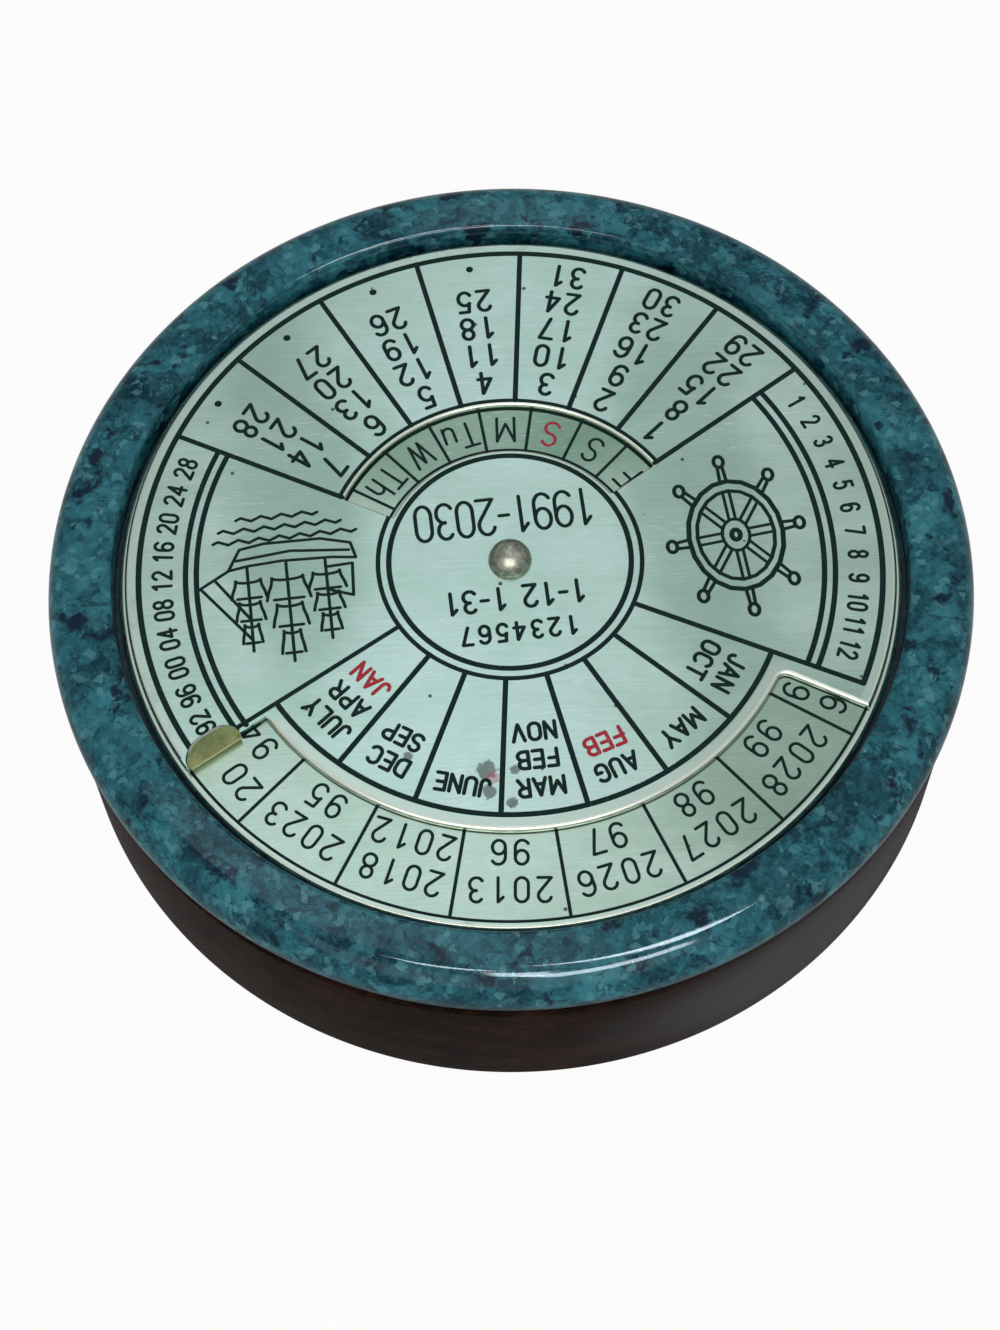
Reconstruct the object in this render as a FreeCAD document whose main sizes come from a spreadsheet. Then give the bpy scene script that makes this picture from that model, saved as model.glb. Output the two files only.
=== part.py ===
import FreeCAD, Part
import math
import os
import Sketcher

# Perpetual desk calendar: a two-layer brass dial set in a stone disc on a turned wood base.
# Lengths are in millimetres and angles in degrees. The Z axis is the dial's pivot, the underside
# of the felt lies at z = 0, and +Y points to the year window, which the reader sees at the top.

SIZES = {
    # Felt disc, glued into a shallow recess under the base
    "felt_thickness": 1.0,
    "felt_sink": 0.6,
    "felt_margin": 3.6,
    "felt_clearance": 0.2,
    # Turned wood base
    "wood_height": 17.3,
    "wood_inset": 0.4,
    "wood_bottom_chamfer": 0.8,
    "wood_top_chamfer": 0.4,
    # Stone disc with a full-round edge and a recess for the dial
    "stone_thickness": 6.0,
    "stone_border": 6.4,
    "stone_floor": 2.5,
    "recess_clearance": 0.6,
    "recess_edge_chamfer": 0.35,
    # Foam tape disc between the recess's floor and the year plate
    "tape_thickness": 0.8,
    "tape_margin": 2.0,
    "tape_hole_clearance": 1.7,
    # Year plate, fixed in the recess
    "year_radius": 38.0,
    "year_thickness": 1.0,
    "year_rim_chamfer": 0.45,
    # Washer between the plates
    "washer_thickness": 0.2,
    "washer_radius": 5.0,
    # Month plate, which turns
    "month_inset": 0.6,
    "month_thickness": 0.5,
    "month_edge_chamfer": 0.25,
    "year_window_depth": 8.95,
    "year_window_right": 29.0,
    "year_window_left": 147.8,
    "year_window_corner": 1.0,
    "day_window_radius": 12.45,
    "day_window_depth": 5.25,
    "day_window_half_angle": 60.0,
    "day_window_corner": 0.25,
    # Finger tab, bent up from the right edge of the year window
    "tab_width": 5.85,
    "tab_edge_gap": 0.1,
    "tab_root": 1.0,
    "tab_bend_radius": 0.1,
    "tab_bend_angle": 110.0,
    "tab_length": 2.7,
    "tab_corner_gap": 0.35,
    # Domed rivet, fixed in the year plate
    "shank_radius": 1.5,
    "seat_clearance": 0.01,
    "pivot_clearance": 0.05,
    "head_radius": 2.1,
    "head_height": 1.95,
    "head_gap": 0.05,
    "tail_radius": 2.3,
    "tail_gap": 0.3,
    # How far a cut runs past the face that it opens
    "overrun": 2.0,
}

# Heights and radii that follow from the sizes above
WOOD_BOTTOM = "(sizes.felt_thickness - sizes.felt_sink)"
STONE_BOTTOM = f"({WOOD_BOTTOM} + sizes.wood_height)"
TAPE_BOTTOM = f"({STONE_BOTTOM} + sizes.stone_floor)"
YEAR_BOTTOM = f"({TAPE_BOTTOM} + sizes.tape_thickness)"
WASHER_BOTTOM = f"({YEAR_BOTTOM} + sizes.year_thickness)"
MONTH_BOTTOM = f"({WASHER_BOTTOM} + sizes.washer_thickness)"
RECESS_RADIUS = "(sizes.year_radius + sizes.recess_clearance)"
STONE_RADIUS = f"({RECESS_RADIUS} + sizes.stone_border)"
WOOD_RADIUS = f"({STONE_RADIUS} - sizes.wood_inset)"
FELT_RADIUS = f"({WOOD_RADIUS} - sizes.felt_margin)"
TAPE_RADIUS = "(sizes.year_radius - sizes.tape_margin)"
TAPE_HOLE_RADIUS = "(sizes.tail_radius + sizes.tape_hole_clearance)"
MONTH_RADIUS = "(sizes.year_radius - sizes.month_inset)"
YEAR_WINDOW_RADIUS = f"({MONTH_RADIUS} - sizes.year_window_depth)"
DAY_WINDOW_OUTER = "(sizes.day_window_radius + sizes.day_window_depth)"
SEAT_HOLE_RADIUS = "(sizes.shank_radius + sizes.seat_clearance)"
PIVOT_HOLE_RADIUS = "(sizes.shank_radius + sizes.pivot_clearance)"

# The sketcher numbers the points of a curve from 1, and its own two axes from -1 down
START, END, CENTRE = range(1, 4)
X_AXIS, Y_AXIS = range(-1, -3, -1)
ORIGIN = (X_AXIS, START)
TOLERANCE = 1e-4

doc = FreeCAD.newDocument("desk_calendar")
sheet = doc.addObject("Spreadsheet::Sheet", "sizes")
for row, (alias, number) in enumerate(SIZES.items(), start=1):
    sheet.set(f"A{row}", alias)
    sheet.set(f"B{row}", str(number))
    sheet.setAlias(f"B{row}", alias)
doc.recompute()
parts = []


def new_body(label, height):
    """Body for one sub-part, with its own z = 0 at a height of the assembly."""
    body = doc.addObject("PartDesign::Body", label)
    body.Label = label
    body.setExpression("Placement.Base.z", height)
    parts.append(body)
    return body


def value(expression):
    """What an expression on the size sheet comes to now."""
    return float(parts[0].evalExpression(expression))


def new_sketch(body, name, role="XY_Plane"):
    """Sketch on one of the body's own origin planes."""
    sketch = body.newObject("Sketcher::SketchObject", name)
    plane = next(item for item in body.Origin.OriginFeatures if item.Role == role)
    sketch.AttachmentSupport = (plane, [""])
    sketch.MapMode = "FlatFace"
    return sketch


def bind(sketch, kind, *places, size):
    """Dimension between places of a sketch, tied to an expression."""
    number = value(size)
    if kind == "Angle":
        number = math.radians(number)
    index = sketch.addConstraint(Sketcher.Constraint(kind, *places, number))
    sketch.setExpression(f"Constraints[{index}]", size)


def tie(sketch, kind, *places):
    """Relation without a size between places of a sketch."""
    sketch.addConstraint(Sketcher.Constraint(kind, *places))


def place(sketch, geometry, point, across=None, along=None):
    """Put a point of a sketch at a distance from each axis; an expression of 0 is on the axis."""
    for kind, axis, size in (("DistanceX", Y_AXIS, across), ("DistanceY", X_AXIS, along)):
        if size == "0":
            tie(sketch, "PointOnObject", geometry, point, axis)
        elif size:
            bind(sketch, kind, *ORIGIN, geometry, point, size=size)


def draw_circles(sketch, *radii):
    """Circles about the sketch's origin."""
    for radius in radii:
        circle = Part.Circle(FreeCAD.Vector(), FreeCAD.Vector(0, 0, 1), value(radius))
        index = sketch.addGeometry(circle)
        tie(sketch, "Coincident", index, CENTRE, *ORIGIN)
        bind(sketch, "Radius", index, size=radius)


def draw_profile(sketch, corners):
    """Closed outline through corners. A corner that names a centre starts an anticlockwise arc."""
    points = [FreeCAD.Vector(value(x), value(y), 0) for x, y, *centre in corners]
    for start, end, corner in zip(points, points[1:] + points[:1], corners):
        if len(corner) < len(("x", "y", "centre")):
            sketch.addGeometry(Part.LineSegment(start, end))
            continue
        x, y = corner[-1]
        centre = FreeCAD.Vector(value(x), value(y), 0)
        circle = Part.Circle(centre, FreeCAD.Vector(0, 0, 1), (start - centre).Length)
        angles = [math.atan2(point.y - centre.y, point.x - centre.x) for point in (start, end)]
        index = sketch.addGeometry(Part.ArcOfCircle(circle, *angles))
        place(sketch, index, CENTRE, across=x)
    for index, (x, y, *centre) in enumerate(corners):
        tie(sketch, "Coincident", index, END, (index + 1) % len(corners), START)
        place(sketch, index, START, x, y)


def draw_sector(sketch, inner, outer, start, end):
    """Closed outline between two arcs about the origin and two radial sides."""
    angles = [math.radians(value(angle)) for angle in (start, end)]
    for radius in (inner, outer):
        circle = Part.Circle(FreeCAD.Vector(), FreeCAD.Vector(0, 0, 1), value(radius))
        arc = sketch.addGeometry(Part.ArcOfCircle(circle, *angles))
        tie(sketch, "Coincident", arc, CENTRE, *ORIGIN)
        bind(sketch, "Radius", arc, size=radius)
    for point, angle, size in zip((START, END), angles, (start, end)):
        direction = FreeCAD.Vector(math.cos(angle), math.sin(angle), 0)
        side = sketch.addGeometry(Part.LineSegment(direction * value(inner), direction * value(outer)))
        tie(sketch, "Coincident", side, START, 0, point)
        tie(sketch, "Coincident", side, END, 1, point)
        tie(sketch, "PointOnObject", *ORIGIN, side)
        bind(sketch, "Angle", X_AXIS, START, side, START, size=size)


def pad(body, sketch, name, length):
    """Solid from a sketch, along the sketch's normal."""
    feature = body.newObject("PartDesign::Pad", name)
    feature.Profile = sketch
    feature.setExpression("Length", length)
    doc.recompute()
    return feature


def cut_through(body, sketch, name, thickness):
    """Cut from a sketch on the body's underside through its thickness."""
    before = body.Shape.Volume
    feature = body.newObject("PartDesign::Pocket", name)
    feature.Profile = sketch
    feature.setExpression("Length", f"{thickness} + sizes.overrun")
    feature.Reversed = True
    doc.recompute()
    if body.Shape.Volume > before - TOLERANCE:
        raise ValueError(f"{name} cuts nothing")
    return feature


def turn(body, sketch, name):
    """Solid of revolution of a sketch about its vertical axis."""
    feature = body.newObject("PartDesign::Revolution", name)
    feature.Profile = sketch
    feature.ReferenceAxis = (sketch, ["V_Axis"])
    doc.recompute()
    return feature


def dress_edges(body, kind, name, wanted):
    """Fillet or chamfer on the edges of the body's last feature that pass a test."""
    base = body.Tip
    names = [f"Edge{number}" for number, edge in enumerate(base.Shape.Edges, start=1) if wanted(edge)]
    if not names:
        raise ValueError(f"{name} finds no edge")
    feature = body.newObject(f"PartDesign::{kind}", name)
    feature.Base = (base, names)
    return feature


def round_edges(body, name, radius, wanted):
    dress_edges(body, "Fillet", name, wanted).setExpression("Radius", radius)
    doc.recompute()


def bevel_edges(body, name, size, wanted):
    dress_edges(body, "Chamfer", name, wanted).setExpression("Size", size)
    doc.recompute()


def is_ring(edge, radius, height):
    """True for a circular edge about Z of a radius and height, given as expressions."""
    curve = edge.Curve
    return (
        isinstance(curve, Part.Circle)
        and abs(curve.Radius - value(radius)) < TOLERANCE
        and abs(curve.Center.z - value(height)) < TOLERANCE
    )


def is_level(edge, height):
    """True for an edge that lies at one height."""
    return all(abs(vertex.Z - height) < TOLERANCE for vertex in edge.Vertexes)


def polar_angle(point):
    """Angle of a point about the pivot, from 0 to 360."""
    return math.degrees(math.atan2(point.y, point.x)) % 360


def make_felt_pad():
    body = new_body("felt_pad", "0 * sizes.felt_thickness")
    sketch = new_sketch(body, "felt_outline")
    draw_circles(sketch, FELT_RADIUS)
    pad(body, sketch, "felt_disc", "sizes.felt_thickness")


def make_wood_base():
    """Disc turned on a lathe, with a shallow recess under it for the felt."""
    body = new_body("wood_base", WOOD_BOTTOM)
    recess_radius = f"({FELT_RADIUS} + sizes.felt_clearance)"
    sketch = new_sketch(body, "wood_profile", "XZ_Plane")
    corners = [
        ("0", "sizes.felt_sink"),
        (recess_radius, "sizes.felt_sink"),
        (recess_radius, "0"),
        (WOOD_RADIUS, "0"),
        (WOOD_RADIUS, "sizes.wood_height"),
        ("0", "sizes.wood_height"),
    ]
    draw_profile(sketch, corners)
    turn(body, sketch, "wood_turning")
    bevel_edges(body, "wood_bottom_edge", "sizes.wood_bottom_chamfer",
                lambda edge: is_ring(edge, WOOD_RADIUS, "0"))
    bevel_edges(body, "wood_top_edge", "sizes.wood_top_chamfer",
                lambda edge: is_ring(edge, WOOD_RADIUS, "sizes.wood_height"))


def make_stone_disc():
    """Disc with a full-round edge and a flat-bottomed recess in its top."""
    body = new_body("marble_disc", STONE_BOTTOM)
    edge_centre = f"({STONE_RADIUS} - sizes.stone_thickness / 2)"
    sketch = new_sketch(body, "stone_profile", "XZ_Plane")
    corners = [
        ("0", "0"),
        (edge_centre, "0", (edge_centre, "sizes.stone_thickness / 2")),
        (edge_centre, "sizes.stone_thickness"),
        (RECESS_RADIUS, "sizes.stone_thickness"),
        (RECESS_RADIUS, "sizes.stone_floor"),
        ("0", "sizes.stone_floor"),
    ]
    draw_profile(sketch, corners)
    turn(body, sketch, "stone_turning")
    bevel_edges(body, "recess_edge", "sizes.recess_edge_chamfer",
                lambda edge: is_ring(edge, RECESS_RADIUS, "sizes.stone_thickness"))


def make_adhesive_pad():
    """Foam tape disc with a hole that clears the rivet's tail."""
    body = new_body("adhesive_pad", TAPE_BOTTOM)
    sketch = new_sketch(body, "tape_outline")
    draw_circles(sketch, TAPE_RADIUS, TAPE_HOLE_RADIUS)
    pad(body, sketch, "tape_disc", "sizes.tape_thickness")


def make_year_plate():
    """Rear plate of the dial, with a bevelled rim."""
    body = new_body("year_plate", YEAR_BOTTOM)
    sketch = new_sketch(body, "year_outline")
    draw_circles(sketch, "sizes.year_radius", SEAT_HOLE_RADIUS)
    pad(body, sketch, "year_disc", "sizes.year_thickness")
    bevel_edges(body, "year_rim", "sizes.year_rim_chamfer",
                lambda edge: is_ring(edge, "sizes.year_radius", "sizes.year_thickness"))


def make_friction_washer():
    body = new_body("friction_washer", WASHER_BOTTOM)
    sketch = new_sketch(body, "washer_outline")
    draw_circles(sketch, "sizes.washer_radius", PIVOT_HOLE_RADIUS)
    pad(body, sketch, "washer_disc", "sizes.washer_thickness")


def add_finger_tab(body):
    """Half-round tab that stays joined to the plate at a bend beside the year window."""
    thickness = "sizes.month_thickness"
    tab_start = f"({MONTH_RADIUS} - sizes.tab_edge_gap - sizes.tab_width)"
    bend_height = f"({thickness} + sizes.tab_bend_radius)"
    outer_radius = bend_height
    inner_radius = "sizes.tab_bend_radius"
    sketch = new_sketch(body, "tab_section", "YZ_Plane")
    sketch.AttachmentOffset = FreeCAD.Placement(
        FreeCAD.Vector(), FreeCAD.Rotation(FreeCAD.Vector(0, 1, 0), value("sizes.year_window_right"))
    )
    sketch.setExpression("AttachmentOffset.Base.x", f"{tab_start} * sin(sizes.year_window_right)")
    sketch.setExpression("AttachmentOffset.Base.z", f"{tab_start} * cos(sizes.year_window_right)")
    sketch.setExpression("AttachmentOffset.Rotation.Angle", "sizes.year_window_right")

    bend_end = math.radians(value("sizes.tab_bend_angle") - 90)
    centre = FreeCAD.Vector(0, value(bend_height), 0)
    outward = FreeCAD.Vector(math.cos(bend_end), math.sin(bend_end), 0)
    upward = FreeCAD.Vector(-math.sin(bend_end), math.cos(bend_end), 0)
    rise = upward * value("sizes.tab_length")
    outer_foot = centre + outward * value(outer_radius)
    inner_foot = centre + outward * value(inner_radius)
    root = -value("sizes.tab_root")
    top = value(thickness)
    normal = FreeCAD.Vector(0, 0, 1)
    sides = [
        Part.LineSegment(FreeCAD.Vector(root, 0, 0), FreeCAD.Vector()),
        Part.ArcOfCircle(Part.Circle(centre, normal, value(outer_radius)), -math.pi / 2, bend_end),
        Part.LineSegment(outer_foot, outer_foot + rise),
        Part.LineSegment(outer_foot + rise, inner_foot + rise),
        Part.LineSegment(inner_foot + rise, inner_foot),
        Part.ArcOfCircle(Part.Circle(centre, normal, value(inner_radius)), -math.pi / 2, bend_end),
        Part.LineSegment(FreeCAD.Vector(0, top, 0), FreeCAD.Vector(root, top, 0)),
        Part.LineSegment(FreeCAD.Vector(root, top, 0), FreeCAD.Vector(root, 0, 0)),
    ]
    under, outer_bend, outer_face, tip, inner_face, inner_bend, over, back = range(len(sides))
    sketch.addGeometry(sides)
    tie(sketch, "Coincident", under, END, *ORIGIN)
    tie(sketch, "Coincident", outer_bend, START, *ORIGIN)
    tie(sketch, "Tangent", outer_bend, END, outer_face, START)
    tie(sketch, "Coincident", outer_face, END, tip, START)
    tie(sketch, "Coincident", tip, END, inner_face, START)
    tie(sketch, "Tangent", inner_face, END, inner_bend, END)
    tie(sketch, "Coincident", inner_bend, START, over, START)
    tie(sketch, "Coincident", over, END, back, START)
    tie(sketch, "Coincident", back, END, under, START)
    tie(sketch, "Coincident", inner_bend, CENTRE, outer_bend, CENTRE)
    tie(sketch, "Horizontal", under)
    tie(sketch, "Horizontal", over)
    tie(sketch, "Vertical", back)
    tie(sketch, "Perpendicular", tip, outer_face)
    place(sketch, outer_bend, CENTRE, "0", bend_height)
    place(sketch, over, START, "0", thickness)
    bind(sketch, "Distance", under, size="sizes.tab_root")
    bind(sketch, "Distance", outer_face, size="sizes.tab_length")
    bind(sketch, "Angle", X_AXIS, START, outer_face, START, size="sizes.tab_bend_angle")
    pad(body, sketch, "tab_bend", "sizes.tab_width")

    tip_floor = value(f"{bend_height} + sizes.tab_length / 2")
    round_edges(
        body, "tab_corners", "sizes.tab_length - sizes.tab_corner_gap",
        lambda edge: edge.Length < value(thickness) + TOLERANCE
        and all(vertex.Z > tip_floor for vertex in edge.Vertexes),
    )


def make_month_plate():
    """Front plate of the dial: a disc with two windows, a pivot hole and the finger tab."""
    thickness = "sizes.month_thickness"
    body = new_body("month_plate", MONTH_BOTTOM)
    sketch = new_sketch(body, "month_outline")
    draw_circles(sketch, MONTH_RADIUS, PIVOT_HOLE_RADIUS)
    pad(body, sketch, "month_disc", thickness)

    sketch = new_sketch(body, "year_window_outline")
    draw_sector(sketch, YEAR_WINDOW_RADIUS, f"({MONTH_RADIUS} + sizes.overrun)",
                "sizes.year_window_right", "sizes.year_window_left")
    cut_through(body, sketch, "year_window", thickness)
    sketch = new_sketch(body, "day_window_outline")
    draw_sector(sketch, "sizes.day_window_radius", DAY_WINDOW_OUTER,
                "270 - sizes.day_window_half_angle", "270 + sizes.day_window_half_angle")
    cut_through(body, sketch, "day_window", thickness)

    window_left = value("sizes.year_window_left")
    window_right = value("sizes.year_window_right")
    window_radius = value(YEAR_WINDOW_RADIUS)
    top = value(thickness)

    def at_left_corner(edge):
        foot = edge.Vertexes[0].Point
        return (
            abs(edge.Length - top) < TOLERANCE
            and abs(math.hypot(foot.x, foot.y) - window_radius) < TOLERANCE
            and abs(polar_angle(foot) - window_left) < TOLERANCE
        )

    def at_day_corner(edge):
        foot = edge.Vertexes[0].Point
        return (
            abs(edge.Length - top) < TOLERANCE
            and abs(foot.x) > value(PIVOT_HOLE_RADIUS) + TOLERANCE
            and math.hypot(foot.x, foot.y) < value(DAY_WINDOW_OUTER) + TOLERANCE
        )

    def on_right_side(edge):
        return all(abs(polar_angle(vertex.Point) - window_right) < TOLERANCE for vertex in edge.Vertexes)

    def is_top_edge(edge):
        return (
            is_level(edge, top)
            and not on_right_side(edge)
            and not is_ring(edge, PIVOT_HOLE_RADIUS, thickness)
        )

    round_edges(body, "year_window_left_corner", "sizes.year_window_corner", at_left_corner)
    round_edges(body, "day_window_corners", "sizes.day_window_corner", at_day_corner)
    bevel_edges(body, "month_top_edges", "sizes.month_edge_chamfer", is_top_edge)
    add_finger_tab(body)


def make_pivot_rivet():
    """Domed head on a shank that passes both plates, upset to a tail under the year plate."""
    body = new_body("pivot_rivet", YEAR_BOTTOM)
    head_foot = "(sizes.year_thickness + sizes.washer_thickness + sizes.month_thickness + sizes.head_gap)"
    tail_height = "(sizes.tape_thickness - sizes.tail_gap)"
    head_top = f"({head_foot} + sizes.head_height)"
    head_sphere = "((sizes.head_radius ^ 2 + sizes.head_height ^ 2) / (2 * sizes.head_height))"
    sketch = new_sketch(body, "rivet_profile", "XZ_Plane")
    corners = [
        ("0", f"-{tail_height}"),
        ("sizes.tail_radius", f"-{tail_height}"),
        ("sizes.tail_radius", "0"),
        ("sizes.shank_radius", "0"),
        ("sizes.shank_radius", head_foot),
        ("sizes.head_radius", head_foot, ("0", f"{head_top} - {head_sphere}")),
        ("0", head_top),
    ]
    draw_profile(sketch, corners)
    turn(body, sketch, "rivet_turning")


def check_and_write():
    """Stop at anything that failed, then write one file for each sub-part."""
    failed = [item.Name for item in doc.Objects if {"Invalid", "Error"} & set(item.State)]
    if failed:
        raise ValueError(f"failed objects: {failed}")
    for part in parts:
        if part.Shape.isNull() or not part.Shape.isValid() or not part.Shape.Solids:
            raise ValueError(f"{part.Label} is not a valid solid")
    os.makedirs("parts", exist_ok=True)
    for part in parts:
        part.Shape.exportStep(f"parts/{part.Label}.step")
        box = part.Shape.BoundBox
        print(f"{part.Label}: {len(part.Shape.Solids)} solid, {part.Shape.Volume:.1f} mm3,"
              f" z {box.ZMin:.2f} to {box.ZMax:.2f}, radius {box.XMax:.2f}")


make_felt_pad()
make_wood_base()
make_stone_disc()
make_adhesive_pad()
make_year_plate()
make_friction_washer()
make_month_plate()
make_pivot_rivet()
doc.recompute()
check_and_write()
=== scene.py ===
# %% [markdown]
# A perpetual desk calendar: a round paperweight with a dark turned wood base, a green stone disc and
# a two-layer brass dial. The front brass plate turns on a domed rivet, so that a year shows over a
# month, and the weekdays then stand over the days.
# The CAD model holds every piece at its real size. This lesson dresses it: each visible piece is
# modelled again with the detail that a solid can't hold, such as etched grooves and worn edges, and
# each surface gets a finish made of nodes. The frame is loaded first, because it never moves.

# %% Load the frame
import math

import bmesh
import bpy
from mathutils import Matrix, Vector
from mathutils.geometry import delaunay_2d_cdt


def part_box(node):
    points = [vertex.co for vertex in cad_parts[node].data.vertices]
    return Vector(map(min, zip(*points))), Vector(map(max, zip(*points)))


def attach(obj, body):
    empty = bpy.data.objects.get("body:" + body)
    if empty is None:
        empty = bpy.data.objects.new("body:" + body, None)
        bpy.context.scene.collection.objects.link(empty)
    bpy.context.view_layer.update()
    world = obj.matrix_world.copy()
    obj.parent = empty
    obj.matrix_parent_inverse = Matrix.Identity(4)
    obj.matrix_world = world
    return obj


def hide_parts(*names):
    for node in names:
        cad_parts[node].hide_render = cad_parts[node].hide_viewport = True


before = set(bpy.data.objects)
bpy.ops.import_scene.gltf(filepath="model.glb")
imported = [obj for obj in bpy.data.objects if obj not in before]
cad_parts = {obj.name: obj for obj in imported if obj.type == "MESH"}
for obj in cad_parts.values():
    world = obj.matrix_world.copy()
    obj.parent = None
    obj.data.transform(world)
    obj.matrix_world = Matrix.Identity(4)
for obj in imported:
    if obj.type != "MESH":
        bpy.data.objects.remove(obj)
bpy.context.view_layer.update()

print("CAD nodes:", sorted(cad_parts))

# %% [markdown]
# Sizes come from the frame wherever it has them. A radius is the largest x of a round node, and the
# heights are its lowest and highest z. Blender works in metres, and the plates' artwork is easier to
# read in millimetres, so one factor turns millimetres into metres.

# %% Sizes from the frame
MM = 0.001


def reach(node):
    """Radius, underside and top of a round CAD node, in metres."""
    low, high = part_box(node)
    return high.x, low.z, high.z


FELT_RADIUS, FLOOR, FELT_TOP = reach("felt_pad")
WOOD_RADIUS, WOOD_LOW, WOOD_TOP = reach("wood_base")
STONE_RADIUS, STONE_LOW, STONE_TOP = reach("marble_disc")
YEAR_RADIUS, YEAR_LOW, YEAR_TOP = reach("year_plate")
MONTH_RADIUS, MONTH_LOW, TAB_TOP = reach("month_plate")
TAIL_RADIUS, TAIL_LOW, HEAD_TOP = reach("pivot_rivet")
TAPE_LOW = reach("adhesive_pad")[1]
SHEET = 0.5 * MM
MONTH_TOP = MONTH_LOW + SHEET
print(f"dial {YEAR_RADIUS / MM:.1f} mm, stone {STONE_RADIUS / MM:.1f} mm, height {HEAD_TOP / MM:.1f} mm")

# %% [markdown]
# The camera stands where the photographer stood: behind the dial, so that the calendar is upside
# down, and 63 degrees above the table. Its place and turn were worked out from the engraved circles,
# which are true circles on the object. A lens of about 71 mm gives the same perspective, and a small
# shift of the lens centres the picture as the photograph's is.

# %% Camera at the photograph's viewing angle
CAMERA_PLACE = Vector((12.75, 122.1, 245.3)) * MM
CAMERA_TURN, CAMERA_TILT, CAMERA_ROLL = 174.75, 26.586, -1.766
LENS, SHIFT, NEAREST = 70.95, 0.0019, 0.01


def turned(degrees, axis):
    """Rotation matrix about a main axis."""
    return Matrix.Rotation(math.radians(degrees), 4, axis)


bpy.ops.object.camera_add()
camera = bpy.context.object
camera.name = "photo_camera"
camera.matrix_world = (
    Matrix.Translation(CAMERA_PLACE)
    @ turned(CAMERA_TURN, "Z") @ turned(CAMERA_TILT, "X") @ turned(CAMERA_ROLL, "Z")
)
camera.data.lens = LENS
camera.data.shift_x = SHIFT
camera.data.clip_start = NEAREST
bpy.context.scene.camera = camera
bpy.context.scene.view_settings.view_transform = "Standard"

# %% [markdown]
# The light is soft and nearly overhead, as from a bright ceiling. The world gives most of it, evenly,
# so that a colour renders about as it is written. A large window light on the camera's side draws the
# rounded edges of the brass, and a strip and a patch on the ceiling give its flat faces a slow change
# of tone. Polished stone shows bright lamps as thin streaks along its round edge. Four narrow tubes
# make those streaks: they reach the stone alone and give no diffuse light, so nothing gets paler.

# %% World and lamps
LAMP_DISTANCE = 0.9
LAMPS = {
    # name: (turn and height in degrees, breadth and depth in metres, power in watts)
    "far_tube": (230, 78.6, 0.20, 0.07, 2.9),
    "near_tube": (111, 69, 0.27, 0.18, 7.0),
    "side_tube": (84, 77, 0.08, 0.20, 2.4),
    "small_tube": (5, 85, 0.07, 0.10, 1.1),
    "ceiling_strip": (264, 64, 0.08, 0.90, 0.30),
    "ceiling_patch": (286, 69, 0.16, 0.10, 0.11),
    "window_light": (80, 48, 0.90, 0.70, 2.8),
}
COOL, WARM = (0.80, 0.93, 1.0), (1.0, 0.97, 0.90)
STREAK_LAMPS = [name for name in LAMPS if name.endswith("tube")]
stone_only = bpy.data.collections.new("stone_only")


def aim_at_dial(lamp, turn, height, distance):
    """Stand a lamp at a direction from the dial and face it to the dial."""
    turn, height = math.radians(turn), math.radians(height)
    flat = math.cos(height)
    away = Vector((math.cos(turn) * flat, math.sin(turn) * flat, math.sin(height)))
    lamp.location = away * distance + Vector((0, 0, MONTH_TOP))
    lamp.rotation_euler = away.to_track_quat("Z", "X").to_euler()


for name, (turn, height, breadth, depth, power) in LAMPS.items():
    bpy.ops.object.light_add(type="AREA")
    lamp = bpy.context.object
    lamp.name = name
    lamp.data.shape = "RECTANGLE"
    lamp.data.size, lamp.data.size_y = depth, breadth
    lamp.data.energy = power
    lamp.data.color = WARM if name == "window_light" else COOL
    if name in STREAK_LAMPS:
        lamp.visible_diffuse = False
        lamp.light_linking.receiver_collection = stone_only
    aim_at_dial(lamp, turn, height, LAMP_DISTANCE)

# %% [markdown]
# Shader maths reads best as plain expressions. A Signal wraps a socket whose number changes over the
# surface, and arithmetic on it adds Math nodes. A Finish holds the nodes of one material, or of the
# world: its node method makes any node from its type, its settings and its inputs, and its shine
# method ends a material in one glossy shader.

# %% Signals and finishes
class Signal:
    """A number, colour or vector that changes over a surface: one output socket of a finish."""

    def __init__(self, finish, socket):
        self.finish, self.socket = finish, socket

    def math(self, operation, *values):
        return self.finish.node("Math", {"operation": operation}, dict(enumerate(values)))

    def __add__(self, other):
        return self.math("ADD", self, other)

    def __sub__(self, other):
        return self.math("SUBTRACT", self, other)

    def __rsub__(self, other):
        return self.math("SUBTRACT", other, self)

    def __mul__(self, other):
        return self.math("MULTIPLY", self, other)

    __radd__, __rmul__ = __add__, __mul__

    def between(self, low, high):
        """0 below low, 1 above high and smooth in between; low may be the larger."""
        inputs = {"Value": self, "From Min": low, "From Max": high}
        return self.finish.node("MapRange", {"interpolation_type": "SMOOTHSTEP"}, inputs)


UNSEEN_AXIS = 1e6  # a size so large that its axis has no part in a distance


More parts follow.
